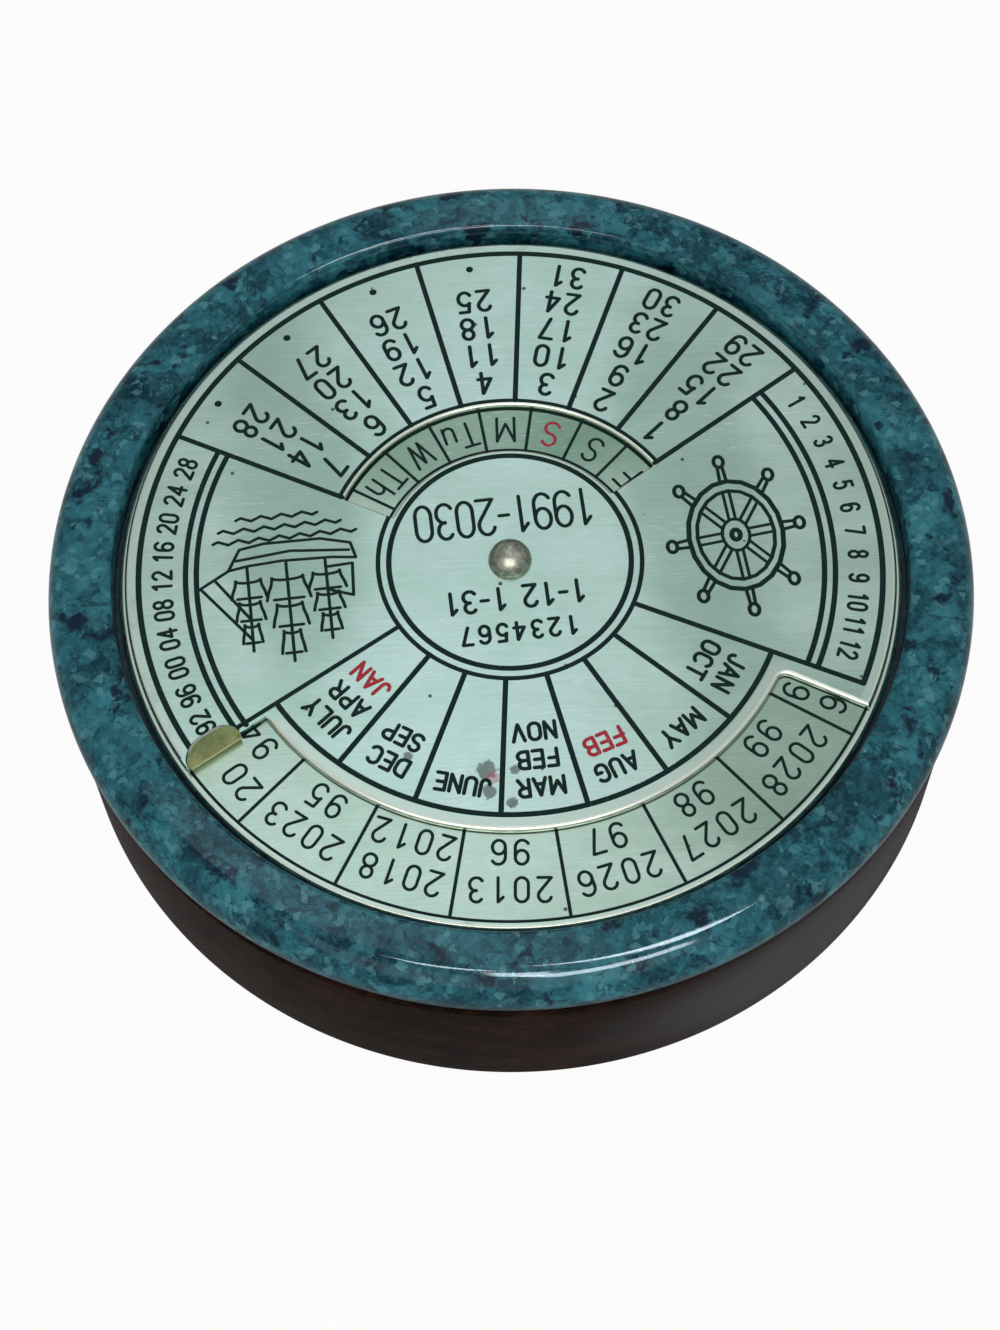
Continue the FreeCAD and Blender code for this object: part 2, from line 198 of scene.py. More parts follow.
class Finish:
    """The nodes of a new material, or of the world, on the object's own coordinates."""

    def __init__(self, owner):
        self.owner = bpy.data.materials.new(owner) if isinstance(owner, str) else owner
        self.owner.use_nodes = True
        self.tree = self.owner.node_tree
        self.tree.nodes.clear()
        self.place = self.node("TexCoord", output="Object")

    def node(self, kind, settings=None, inputs=None, output=0):
        """Add a shader node: settings first, then the values or links of its sockets."""
        node = self.tree.nodes.new("ShaderNode" + kind)
        for key, value in (settings or {}).items():
            setattr(node, key, value)
        for key, value in (inputs or {}).items():
            if isinstance(value, Signal):
                self.tree.links.new(value.socket, node.inputs[key])
            else:
                node.inputs[key].default_value = value
        return Signal(self, node.outputs[output]) if node.outputs else None

    def stretched(self, sizes, turn=0, centre=(0, 0, 0)):
        """Coordinates that count in steps of three sizes in millimetres, turned about Z and centred."""
        inputs = {
            "Vector": self.place,
            "Location": [value * MM for value in centre],
            "Rotation": (0, 0, math.radians(turn)),
            "Scale": [size * MM for size in sizes],
        }
        return self.node("Mapping", {"vector_type": "TEXTURE"}, inputs)

    def noise(self, sizes, turn=0, detail=2, rough=0.5, warp=0):
        """Cloudy pattern whose features have three sizes in millimetres."""
        inputs = {"Scale": 1, "Detail": detail, "Roughness": rough, "Distortion": warp}
        return self.node("TexNoise", inputs={"Vector": self.stretched(sizes, turn), **inputs})

    def cells(self, where, output="Distance"):
        return self.node("TexVoronoi", inputs={"Vector": where, "Scale": 1}, output=output)

    def warped(self, where, amount):
        """Coordinates pushed about by a noise, so that cells get crooked edges."""
        push = self.node("TexNoise", inputs={"Vector": where, "Scale": 1.4, "Detail": 3}, output="Color")
        return self.node("VectorMath", {"operation": "MULTIPLY_ADD"}, {0: push, 1: (amount,) * 3, 2: where})

    def distance(self, where, centre=(0, 0, 0)):
        """How far stretched coordinates are from a centre given in the same steps."""
        return self.node("VectorMath", {"operation": "DISTANCE"}, {0: where, 1: centre}, "Value")

    def height_from(self, level):
        """How far a place is above or below a level, in millimetres."""
        return self.distance(self.stretched((UNSEEN_AXIS, UNSEEN_AXIS, 1), centre=(0, 0, level)))

    def blend(self, amount, below, above):
        """Mix of two colours, each a signal or a plain red, green and blue."""
        colours = [value if isinstance(value, Signal) else (*value, 1) for value in (below, above)]
        inputs = {0: amount, 6: colours[0], 7: colours[1]}
        return self.node("Mix", {"data_type": "RGBA"}, inputs, 2)

    def shine(self, colour, rough, metal=0.0, relief=None, relief_size=0.0, gloss=0.5, **sockets):
        """End the finish in one shader. Relief is a height signal and its size in millimetres."""
        inputs = {"Roughness": rough, "Metallic": metal, "Specular IOR Level": gloss, **sockets}
        inputs["Base Color"] = colour if isinstance(colour, Signal) else (*colour, 1)
        if relief:
            bump = {"Height": relief, "Strength": 1, "Distance": relief_size * MM}
            inputs["Normal"] = self.node("Bump", inputs=bump)
        surface = self.node("BsdfPrincipled", inputs=inputs)
        self.node("OutputMaterial", inputs={"Surface": surface})
        return self.owner


# %% [markdown]
# The plates are brass with a pale, slightly green lacquered tone. They were brushed in one direction
# before etching, which leaves fine streaks millimetres long and a tenth of one wide. Stretching one
# noise along the brushing gives those streaks, and the same noise moves the roughness and a very low
# relief, so that they also show in the reflections. Wide soft clouds are where the lacquer has
# dulled, and small dark pits are where it is pierced. The front plate also has a few dark stains, and
# a smooth strip along its year window, where no brush reached. Larger soft zones are painted shade:
# they darken the plates towards their sides, and the rear plate where the front plate's day window
# lies over it.

# %% Brushed plate finish
BRUSH_TURN = -5.0
# place on the front plate and radius of each stain, in millimetres
STAINS = [
    ((4.9, 21.9), 1.00), ((4.9, 24.1), 0.72), ((2.2, 22.2), 0.50), ((2.9, 25.5), 0.55), ((12.0, 19.6), 0.50)
]
RED_STAIN = ((4.4, 22.8), 0.66)
# place and two radii of each zone of painted shade, in millimetres
MONTH_SHADE_ZONES = [((-18.5, -6), (8, 25)), ((20.5, -9), (7.5, 23)), ((-24, 24), (11, 10))]
YEAR_SHADE_ZONES = [((-26, 25), (16, 14)), ((0, -16), (20, 7)), ((0, -14), (22, 8)), ((-11, -13), (9, 8))]
PAINTED_SHADE_AMOUNT = 0.33
# radii at which the smooth strip begins and ends, and where it fades, seen from a far point beside it
STRIP_START, STRIP_END = (27.15, 27.35), (28.8, 28.6)
STRIP_VIEW, STRIP_SIDE = (0, 1000, 0), (986.5, 985.5)
PAINTED_SHADE_GREEN, PIT_GREEN, SCRATCH_PALE = (0.10, 0.20, 0.13), (0.05, 0.075, 0.05), (0.85, 0.93, 0.88)
STRIP_TONE, STAIN_GREY, STAIN_RED = (0.50, 0.57, 0.50), (0.17, 0.22, 0.22), (0.42, 0.12, 0.17)


def spot(finish, centre, radius):
    """1 inside a round spot with an uneven soft edge and 0 outside it."""
    where = finish.stretched((radius,) * 3, centre=(*centre, MONTH_TOP / MM))
    ragged = finish.noise((radius * 0.6,) * 3, detail=4, rough=0.6) * 1.3
    return (finish.distance(where) + ragged).between(1.72, 1.42)


def brushed_plate(name, bright, dull, pit_size, shade_zones, stains=()):
    finish = Finish(name)
    streaks = finish.noise((9, 0.16, 1), BRUSH_TURN, detail=4, rough=0.65)
    fine = finish.noise((3.5, 0.05, 1), BRUSH_TURN)
    clouds = finish.noise((14, 9, 14), BRUSH_TURN, detail=3, warp=0.4)
    mottle = finish.noise((1.6, 1.1, 1.6), detail=4, rough=0.6)
    tone = (streaks * 0.55 + clouds * 0.75 + mottle * 0.25).between(0.5, 1.05)
    colour = finish.blend(tone, dull, bright)
    # Painted shade: soft zones darken the plate towards its sides, and under the front plate's day window
    for centre, radii in shade_zones:
        where = finish.stretched((*radii, 20), centre=(*centre, MONTH_TOP / MM))
        cover = (finish.distance(where) + clouds * 0.4).between(1.35, 0.75)
        colour = finish.blend(cover * PAINTED_SHADE_AMOUNT, colour, PAINTED_SHADE_GREEN)
    pits = finish.cells(finish.stretched((4.6, 4.6, 4.6)))
    pit = pits.between(pit_size, pit_size * 0.6)
    colour = finish.blend(pit * 0.85, colour, PIT_GREEN)
    scratches = finish.noise((2.0, 0.08, 1), BRUSH_TURN + 4, detail=1)
    scratch = scratches.between(0.66, 0.72) * clouds.between(0.46, 0.58)
    colour = finish.blend(scratch * 0.45, colour, SCRATCH_PALE)
    rough = 0.20 + streaks * 0.10 + clouds * 0.10 + pit * 0.3
    if stains:
        flat = finish.stretched((1, 1, UNSEEN_AXIS))
        radius = finish.distance(flat)
        beside = finish.distance(flat, STRIP_VIEW).between(*STRIP_SIDE)
        strip = radius.between(*STRIP_START) * radius.between(*STRIP_END) * beside
        colour = finish.blend(strip * 0.7, colour, STRIP_TONE)
        for centre, radius in stains:
            mark = spot(finish, centre, radius)
            colour = finish.blend(mark * (0.45 + mottle * 0.7), colour, STAIN_GREY)
            rough = rough + mark * 0.2
        colour = finish.blend(spot(finish, *RED_STAIN) * 0.6, colour, STAIN_RED)
    relief = streaks * 0.6 + fine * 0.4 - pit * 0.8
    return finish.shine(colour, rough, 1.0, relief, 0.005)


month_finish = brushed_plate(
    "month_plate_brushed", (0.525, 0.68, 0.62), (0.39, 0.535, 0.465), 0.055, MONTH_SHADE_ZONES, STAINS
)
year_finish = brushed_plate("year_plate_brushed", (0.50, 0.635, 0.545), (0.36, 0.475, 0.39), 0.05, YEAR_SHADE_ZONES)

# %% [markdown]
# Rims and window edges were rolled and polished, so they are smoother and creamier than the faces,
# and the margin beside the rim is smooth too. The tab's outer side is the sheet's back: bare yellow
# brass that was never lacquered. Near the bend it gets a painted golden glow, and along the bend a
# painted highlight. The rivet is the same brass, handled for years, with a brown skin. One function
# makes them all, with other numbers.

# %% Polished edge, margin, raw brass and rivet finishes
BEND_PAINTED_GLOW, FOLD_PAINTED_HIGHLIGHT = (0.80, 0.66, 0.30), (1.0, 0.97, 0.78)
BEND_HEIGHT = 22.6


def bare_brass(name, clean, tarnish, amount, rough, grain, relief, highlight_height=None):
    finish = Finish(name)
    skin = finish.noise((grain,) * 3, detail=4, rough=0.6, warp=0.6)
    fine = finish.noise((grain / 8,) * 3)
    cover = (skin * 0.8 + fine * 0.2).between(0.75 - amount, 1.05 - amount)
    colour = finish.blend(cover, clean, tarnish)
    # Painted light on the tab: a golden glow near the bend and a bright highlight along it
    if highlight_height is not None:
        above = finish.height_from(highlight_height)
        colour = finish.blend(above.between(2.2, 0.3) * 0.55, colour, BEND_PAINTED_GLOW)
        colour = finish.blend(above.between(0.34, 0.14) * 0.9, colour, FOLD_PAINTED_HIGHLIGHT)
    return finish.shine(colour, rough + cover * 0.18, 1.0, skin + fine * 0.5, relief)


edge_finish, margin_finish, raw_finish, rivet_finish = [
    bare_brass(*numbers)
    for numbers in (
        # name, clean and tarnished colour, tarnish, roughness, grain, relief, height of the painted highlight
        # at the bend
        ("polished_edge", (0.77, 0.83, 0.72), (0.64, 0.71, 0.60), 0.25, 0.22, 3.0, 0.001),
        ("smooth_margin", (0.475, 0.60, 0.535), (0.40, 0.51, 0.45), 0.25, 0.30, 3.0, 0.001),
        ("raw_yellow_brass", (0.60, 0.58, 0.30), (0.30, 0.31, 0.15), 0.34, 0.24, 1.6, 0.008, BEND_HEIGHT),
        ("tarnished_rivet", (0.50, 0.51, 0.42), (0.19, 0.21, 0.165), 0.38, 0.22, 0.9, 0.008),
    )
]

# %% [markdown]
# The etched lines are filled with enamel: blue-black for nearly all, and red for Sundays and for the
# months of leap years. Enamel in a groove is glossy but never level, and it has worn thin in places,
# so its colour and its shine both wander a little.

# %% Enamel finishes
def enamel(name, thick, worn):
    finish = Finish(name)
    wear = finish.noise((0.9,) * 3, detail=4, rough=0.65)
    ripple = finish.noise((0.25,) * 3)
    colour = finish.blend(wear.between(0.52, 0.78), thick, worn)
    return finish.shine(colour, 0.34 + wear * 0.25, 0.0, ripple, 0.02, gloss=0.15)


dark_enamel = enamel("dark_enamel", (0.001, 0.016, 0.014), (0.008, 0.038, 0.034))
red_enamel = enamel("red_enamel", (0.40, 0.028, 0.045), (0.48, 0.12, 0.13))

# %% [markdown]
# The stone is a dark green and blue serpentine. A polished slab shows three scales at once: cloudy
# patches a centimetre wide, near-black navy islands with ragged outlines between them, and a grain of
# crystals under a millimetre that makes the whole look granular. Thin dark veins follow where one
# noise crosses its middle value. The polish is even, apart from tiny pits, and it stops halfway down
# the round edge: the lower half was left dull, and its colour is darkened there as painted shade.

# %% Polished stone finish
STONE_DARK, STONE_LIGHT, CLOUD_PALE = (0.000, 0.023, 0.040), (0.036, 0.190, 0.235), (0.090, 0.240, 0.280)
CHIP_PALE, ISLAND_NAVY, VEIN_DARK = (0.13, 0.31, 0.34), (0.001, 0.006, 0.022), (0.001, 0.010, 0.020)
LOWER_EDGE_PAINTED_SHADE, DULL_AND_SHADE_FROM, DULL_AND_SHADE_BELOW = (0.002, 0.010, 0.014), 21.3, 20.0
SHARD_SIZE, CHIP_SIZE, CROOKED = 2.4, 0.75, 0.9


def polished_stone():
    finish = Finish("green_stone_polished")
    clouds = finish.noise((7, 7, 7), detail=5, rough=0.62, warp=0.8)
    grain = finish.noise((0.55,) * 3, detail=4, rough=0.7)
    shard, chip = [
        finish.node("SeparateColor", inputs={0: finish.cells(finish.warped(place, CROOKED), "Color")})
        for place in [finish.stretched((size,) * 3) for size in (SHARD_SIZE, CHIP_SIZE)]
    ]
    tone = (clouds * 0.75 + grain * 0.5 + shard * 0.24 + chip * 0.20).between(0.5, 1.2)
    colour = finish.blend(tone, STONE_DARK, STONE_LIGHT)
    pale = finish.noise((2.4, 2.4, 2.4), detail=6, rough=0.7, warp=0.5)
    colour = finish.blend(pale.between(0.56, 0.72) * 0.5, colour, CLOUD_PALE)
    colour = finish.blend(chip.between(0.86, 0.98) * 0.30, colour, CHIP_PALE)
    islands = finish.noise((3.8, 3.8, 3.8), 30, detail=6, rough=0.62, warp=0.25)
    island = (islands + grain * 0.10 + shard * 0.10).between(0.665, 0.745)
    colour = finish.blend(island * 0.9, colour, ISLAND_NAVY)
    off_middle = finish.noise((6.5, 9, 6.5), 65, detail=5, rough=0.6, warp=0.5) - 0.5
    vein = off_middle.math("ABSOLUTE", off_middle).between(0.012, 0.002)
    colour = finish.blend(vein * 0.55, colour, VEIN_DARK)
    pits = finish.cells(finish.stretched((1.1,) * 3)).between(0.10, 0.04)
    # Below the middle of the round edge the stone is rougher, and its colour is darkened as painted shade
    dull = finish.height_from(0).between(DULL_AND_SHADE_FROM, DULL_AND_SHADE_BELOW)
    colour = finish.blend(dull * 0.8, colour, LOWER_EDGE_PAINTED_SHADE)
    rough = 0.05 + grain * 0.04 + pits * 0.2 + dull * 0.5
    return finish.shine(colour, rough, 0.0, 1 - pits, 0.02, gloss=0.15)


stone_finish = polished_stone()

# %% [markdown]
# The base is wood turned on a lathe and stained almost black, with a thin satin lacquer. The grain
# runs straight across the disc, so the side shows long grain on two sides and end grain on the other
# two. Noise stretched along one axis of the object gives exactly that, because the side cuts it. On
# one side a grey patch is painted onto the wood as the sheen of its lacquer: a painted reflection.

# %% Stained wood finish
GRAIN_TURN = 20
WOOD_DARK, WOOD_BROWN, PORE_BLACK = (0.005, 0.003, 0.0026), (0.030, 0.013, 0.009), (0.003, 0.002, 0.002)
PAINTED_SHEEN_GREY, PAINTED_SHEEN_PLACE, PAINTED_SHEEN_SIZE = (0.072, 0.070, 0.074), (-24, 37, 9), (24, 20, 12)


def stained_wood():
    finish = Finish("stained_wood")
    fibres = finish.noise((30, 0.45, 0.45), GRAIN_TURN, detail=5, rough=0.6)
    bands = finish.noise((60, 4.5, 3.2), GRAIN_TURN, detail=3, warp=0.6)
    pore = finish.noise((4.0, 0.22, 0.22), GRAIN_TURN).between(0.62, 0.72)
    tone = (bands * 0.6 + fibres * 0.8).between(0.5, 0.95)
    colour = finish.blend(tone, WOOD_DARK, WOOD_BROWN)
    colour = finish.blend(pore * 0.6, colour, PORE_BLACK)
    # Painted reflection: a grey patch on one side stands in for the lacquer's sheen
    away = finish.distance(finish.stretched(PAINTED_SHEEN_SIZE, centre=PAINTED_SHEEN_PLACE))
    painted_sheen = (away + fibres * 0.35).between(1.35, 0.5)
    colour = finish.blend(painted_sheen * 0.8, colour, PAINTED_SHEEN_GREY)
    rough = 0.36 + fibres * 0.16 + pore * 0.1
    relief = fibres * 0.5 + bands * 0.3 - pore
    return finish.shine(colour, rough, 0.0, relief, 0.02, gloss=0.02)


wood_finish = stained_wood()

# %% [markdown]
# Three finishes are seen only when the calendar is lifted or taken apart: pressed wool felt under the
# base, white foam tape under the rear plate and a washer of natural nylon between the plates. Felt is
# a tangle of fibres with no direction, so its two noises are fine and uneven, and it has sheen.

# %% Felt, foam tape and nylon finishes
def pressed_felt():
    finish = Finish("pressed_felt")
    fibres = finish.noise((0.5, 0.5, 0.5), detail=6, rough=0.75, warp=2.0)
    lumps = finish.noise((5, 5, 5), detail=3)
    tone = (fibres * 0.7 + lumps * 0.3).between(0.35, 0.7)
    colour = finish.blend(tone, (0.008, 0.022, 0.014), (0.03, 0.065, 0.042))
    relief = fibres + lumps * 0.5
    return finish.shine(colour, 0.95, 0.0, relief, 0.12, **{"Sheen Weight": 0.4, "Sheen Roughness": 0.6})


def plain_polymer(name, light, dark, rough, cell):
    finish = Finish(name)
    cells = finish.cells(finish.stretched((cell,) * 3))
    drift = finish.noise((cell * 12,) * 3, detail=3)
    colour = finish.blend(cells * 0.6 + drift * 0.4, dark, light)
    return finish.shine(colour, rough + drift * 0.1, 0.0, cells, 0.02)


felt_finish = pressed_felt()
tape_finish = plain_polymer("foam_tape", (0.83, 0.83, 0.80), (0.66, 0.66, 0.62), 0.7, 0.12)
nylon_finish = plain_polymer("natural_nylon", (0.78, 0.74, 0.64), (0.68, 0.63, 0.52), 0.42, 0.3)
print("finishes:", sorted(material.name for material in bpy.data.materials))

# %% [markdown]
# All pieces are shaped by hand-style steps: a primitive, then edit mode. Small helpers do what a hand
# does with the mouse: take one piece alone, pick its faces or edges by a test, pull or round them,
# leave edit mode, and carve one piece with another. Tests look at places and normals, never at index
# numbers.

# %% Hand tools
SIDES = 256
TINY, CLOSE = 1e-6, 2e-5
SLOT_FACE, SLOT_EDGE, SLOT_DARK, SLOT_RED, SLOT_RAW, SLOT_MARGIN = range(6)


def take(piece):
    """Select one piece alone."""
    if bpy.context.object and bpy.context.object.mode == "EDIT":
        bpy.ops.object.mode_set(mode="OBJECT")
    bpy.ops.object.select_all(action="DESELECT")
    piece.select_set(True)
    bpy.context.view_layer.objects.active = piece


def pick(piece, kind, wanted):
    """Enter edit mode with only the faces or edges that pass a test selected."""
    take(piece)
    bpy.ops.object.mode_set(mode="EDIT")
    bpy.ops.mesh.select_mode(type=kind)
    bpy.ops.mesh.select_all(action="DESELECT")
    shape = bmesh.from_edit_mesh(piece.data)
    chosen = [item for item in (shape.faces if kind == "FACE" else shape.edges) if wanted(item)]
    for item in chosen:
        item.select_set(True)
    bmesh.update_edit_mesh(piece.data)
    return len(chosen)


def pull(step):
    """Extrude what is selected by a step."""
    bpy.ops.mesh.extrude_region_move(TRANSFORM_OT_translate={"value": step})


def finish_edit():
    bpy.ops.object.mode_set(mode="OBJECT")


def edit_all():
    """Enter edit mode with everything selected."""
    bpy.ops.object.mode_set(mode="EDIT")
    bpy.ops.mesh.select_all(action="SELECT")


def face_outwards():
    """Turn every face of the edited piece outwards, and leave edit mode."""
    bpy.ops.mesh.select_all(action="SELECT")
    bpy.ops.mesh.normals_make_consistent(inside=False)
    finish_edit()


def round_over(size, segments, finish=-1):
    """Bevel the selected edges, and give the new faces a finish's slot if one is named."""
    bpy.ops.mesh.bevel(offset=size, segments=segments, affect="EDGES", material=finish)


def settle():
    """Write the selected piece's place, turn and size into its mesh."""
    bpy.ops.object.transform_apply(location=True, rotation=True, scale=True)


def carve(piece, tool, operation="DIFFERENCE"):
    """Cut a piece with a tool, or weld the tool to it. New faces keep the tool's finishes."""
    change = piece.modifiers.new("carve", "BOOLEAN")
    change.operation, change.solver, change.material_mode = operation, "MANIFOLD", "TRANSFER"
    change.object = tool
    take(piece)
    bpy.ops.object.modifier_apply(modifier=change.name)
    bpy.data.objects.remove(tool)


def add_disc(name, radius, low, high, finishes):
    """Cylinder between two heights, with its place in its mesh."""
    bpy.ops.mesh.primitive_cylinder_add(
        vertices=SIDES, radius=radius, depth=high - low, location=(0, 0, (low + high) / 2)
    )
    disc = bpy.context.object
    disc.name = disc.data.name = name
    take(disc)
    settle()
    for material in finishes:
        disc.data.materials.append(material)
    return disc


def add_margin(plate, width):
    """Give the outermost ring of a plate's top face the smooth margin's finish."""
    pick(plate, "FACE", lambda face: face.normal.z > 0.9)
    bpy.ops.mesh.inset(thickness=width, depth=0)
    bpy.ops.mesh.select_all(action="INVERT")
    finish_edit()
    for face in plate.data.polygons:
        if face.select and face.normal.z > 0.9:
            face.material_index = SLOT_MARGIN


def ring_radius(edge):
    """Radius of an edge that follows a circle about Z, or -1 for any other edge."""
    radii = [vertex.co.xy.length for vertex in edge.verts]
    heights = [vertex.co.z for vertex in edge.verts]
    level = abs(radii[0] - radii[1]) < CLOSE / 2 and abs(heights[0] - heights[1]) < TINY
    return radii[0] if level else -1


def ring_at(radius, height):
    """Test for the edges of the circle at a radius and a height."""
    return lambda edge: abs(ring_radius(edge) - radius) < CLOSE and abs(edge.verts[0].co.z - height) < CLOSE


def soften(piece, angle=35):
    """Smooth the round faces of a finished piece and leave its flat ones flat."""
    take(piece)
    bpy.ops.object.shade_smooth_by_angle(angle=math.radians(angle))
    for face in piece.data.polygons:
        if abs(face.normal.z) > 0.9999:
            face.use_smooth = False
    print(f"{piece.name}: {len(piece.data.polygons)} faces")


# %% [markdown]
# The wood base is a lathe piece with a plain side. A cylinder is close to it already: its underside is
# inset and pushed up for the felt's recess, and its edges are bevelled round, because no turned
# edge is left sharp.

# %% Turned base
FELT_RECESS = 0.6 * MM
FELT_GAP = 0.2 * MM
FOOT_ROUND, SHOULDER_ROUND = 0.8 * MM, 0.4 * MM

base = add_disc("turned_base", WOOD_RADIUS, WOOD_LOW, WOOD_TOP, [wood_finish])
pick(base, "FACE", lambda face: face.normal.z < -0.9)
bpy.ops.mesh.inset(thickness=WOOD_RADIUS - FELT_RADIUS - FELT_GAP, depth=0)
pull((0, 0, FELT_RECESS))
pick(base, "EDGE", ring_at(WOOD_RADIUS, WOOD_LOW))
round_over(FOOT_ROUND, 6)
pick(base, "EDGE", ring_at(WOOD_RADIUS, WOOD_TOP))
round_over(SHOULDER_ROUND, 4)
finish_edit()
soften(base)

# %% [markdown]
# The felt is a punched disc, a little soft at its cut edge. Bevelling both edges gives that, and the
# finish does the rest.

# %% Felt disc
FELT_ROUND = 0.25 * MM

felt = add_disc("felt_disc", FELT_RADIUS, FLOOR, FELT_TOP, [felt_finish])
pick(felt, "EDGE", lambda edge: ring_radius(edge) > FELT_RADIUS / 2)
round_over(FELT_ROUND, 3)
finish_edit()
soften(felt)

# %% [markdown]
# The stone disc has a full-round edge, like a bullnose on a worktop, and a recess that was ground out
# for the dial. Bevelling the top and bottom edges by half the thickness meets in the middle and makes
# the round. The recess is an inset pushed down, and its arris is broken as masons do.

# %% Stone disc
RECESS_GAP = 0.6 * MM
RECESS_RADIUS = YEAR_RADIUS + RECESS_GAP
EDGE_ROUND = (STONE_TOP - STONE_LOW) * 0.499
ARRIS = 0.4 * MM

stone = add_disc("stone_disc", STONE_RADIUS, STONE_LOW, STONE_TOP, [stone_finish])
pick(stone, "EDGE", lambda edge: abs(ring_radius(edge) - STONE_RADIUS) < CLOSE)
round_over(EDGE_ROUND, 14)
pick(stone, "FACE", lambda face: face.normal.z > 0.999 and len(face.verts) > 4)
bpy.ops.mesh.inset(thickness=STONE_RADIUS - EDGE_ROUND - RECESS_RADIUS, depth=0)
pull((0, 0, TAPE_LOW - STONE_TOP))
pick(stone, "EDGE", ring_at(RECESS_RADIUS, STONE_TOP))
round_over(ARRIS, 4)
finish_edit()
soften(stone)

# %% [markdown]
# The windows and holes of the plates are cut through with tools of their own shape. A window is a
# sector of a ring, and an upright face swept about the dial's axis makes such a block. Where the
# punch rounded a corner, the block's upright corner edge is bevelled.

# %% Window punches
SWEEP_STEP = 1.5


def sector(inner, outer, start, end, low, high, corner, rounded):
    """Sector-shaped block. Its upright corner edges that pass the test are rounded."""
    bpy.ops.mesh.primitive_plane_add(
        size=1, location=((inner + outer) / 2, 0, (low + high) / 2), rotation=(math.pi / 2, 0, 0)
    )
    block = bpy.context.object
    block.scale = (outer - inner, high - low, 1)
    settle()
    edit_all()
    bpy.ops.mesh.spin(
        steps=round((end - start) / SWEEP_STEP), angle=math.radians(start - end),
        center=(0, 0, 0), axis=(0, 0, 1),
    )
    face_outwards()
    block.rotation_euler.z = math.radians(start)
    settle()
    pick(block, "EDGE", lambda edge: is_upright(edge) and rounded(polar(edge.verts[0].co)))
    round_over(corner, 6)
    finish_edit()
    return block


def is_upright(edge):
    return (edge.verts[0].co - edge.verts[1].co).xy.length < TINY


def polar(place):
    """Radius and angle in degrees of a point, seen from above."""
    return place.xy.length, math.degrees(math.atan2(place.y, place.x)) % 360


def drill(plate, radius):
    """Hole on the dial's axis."""
    low = min(vertex.co.z for vertex in plate.data.vertices)
    carve(plate, add_disc("drill", radius, low - MM, low + 4 * MM, []))


# %% [markdown]
# Everything on the plates is drawn with one round-ended pen, as etching artwork is: a stroke is a
# list of points and a width. The lettering is a plain engineer's hand, one unit tall, made of lines
# and of bows, which are parts of ovals. A sharp corner is two strokes that meet, and a closed ring is
# two bows, so that every stroke has a simple outline.

# %% Pen and lettering
def bow(x, y, wide, tall, start, end):
    """Points along an oval about (x, y), from one angle to another."""
    steps = max(3, round(abs(end - start) / 18))
    turns = [math.radians(start + (end - start) * step / steps) for step in range(steps + 1)]
    return [(x + wide * math.cos(turn), y + tall * math.sin(turn)) for turn in turns]


def ring(x, y, wide, tall):
    return [bow(x, y, wide, tall, 90, 270), bow(x, y, wide, tall, 90, -90)]


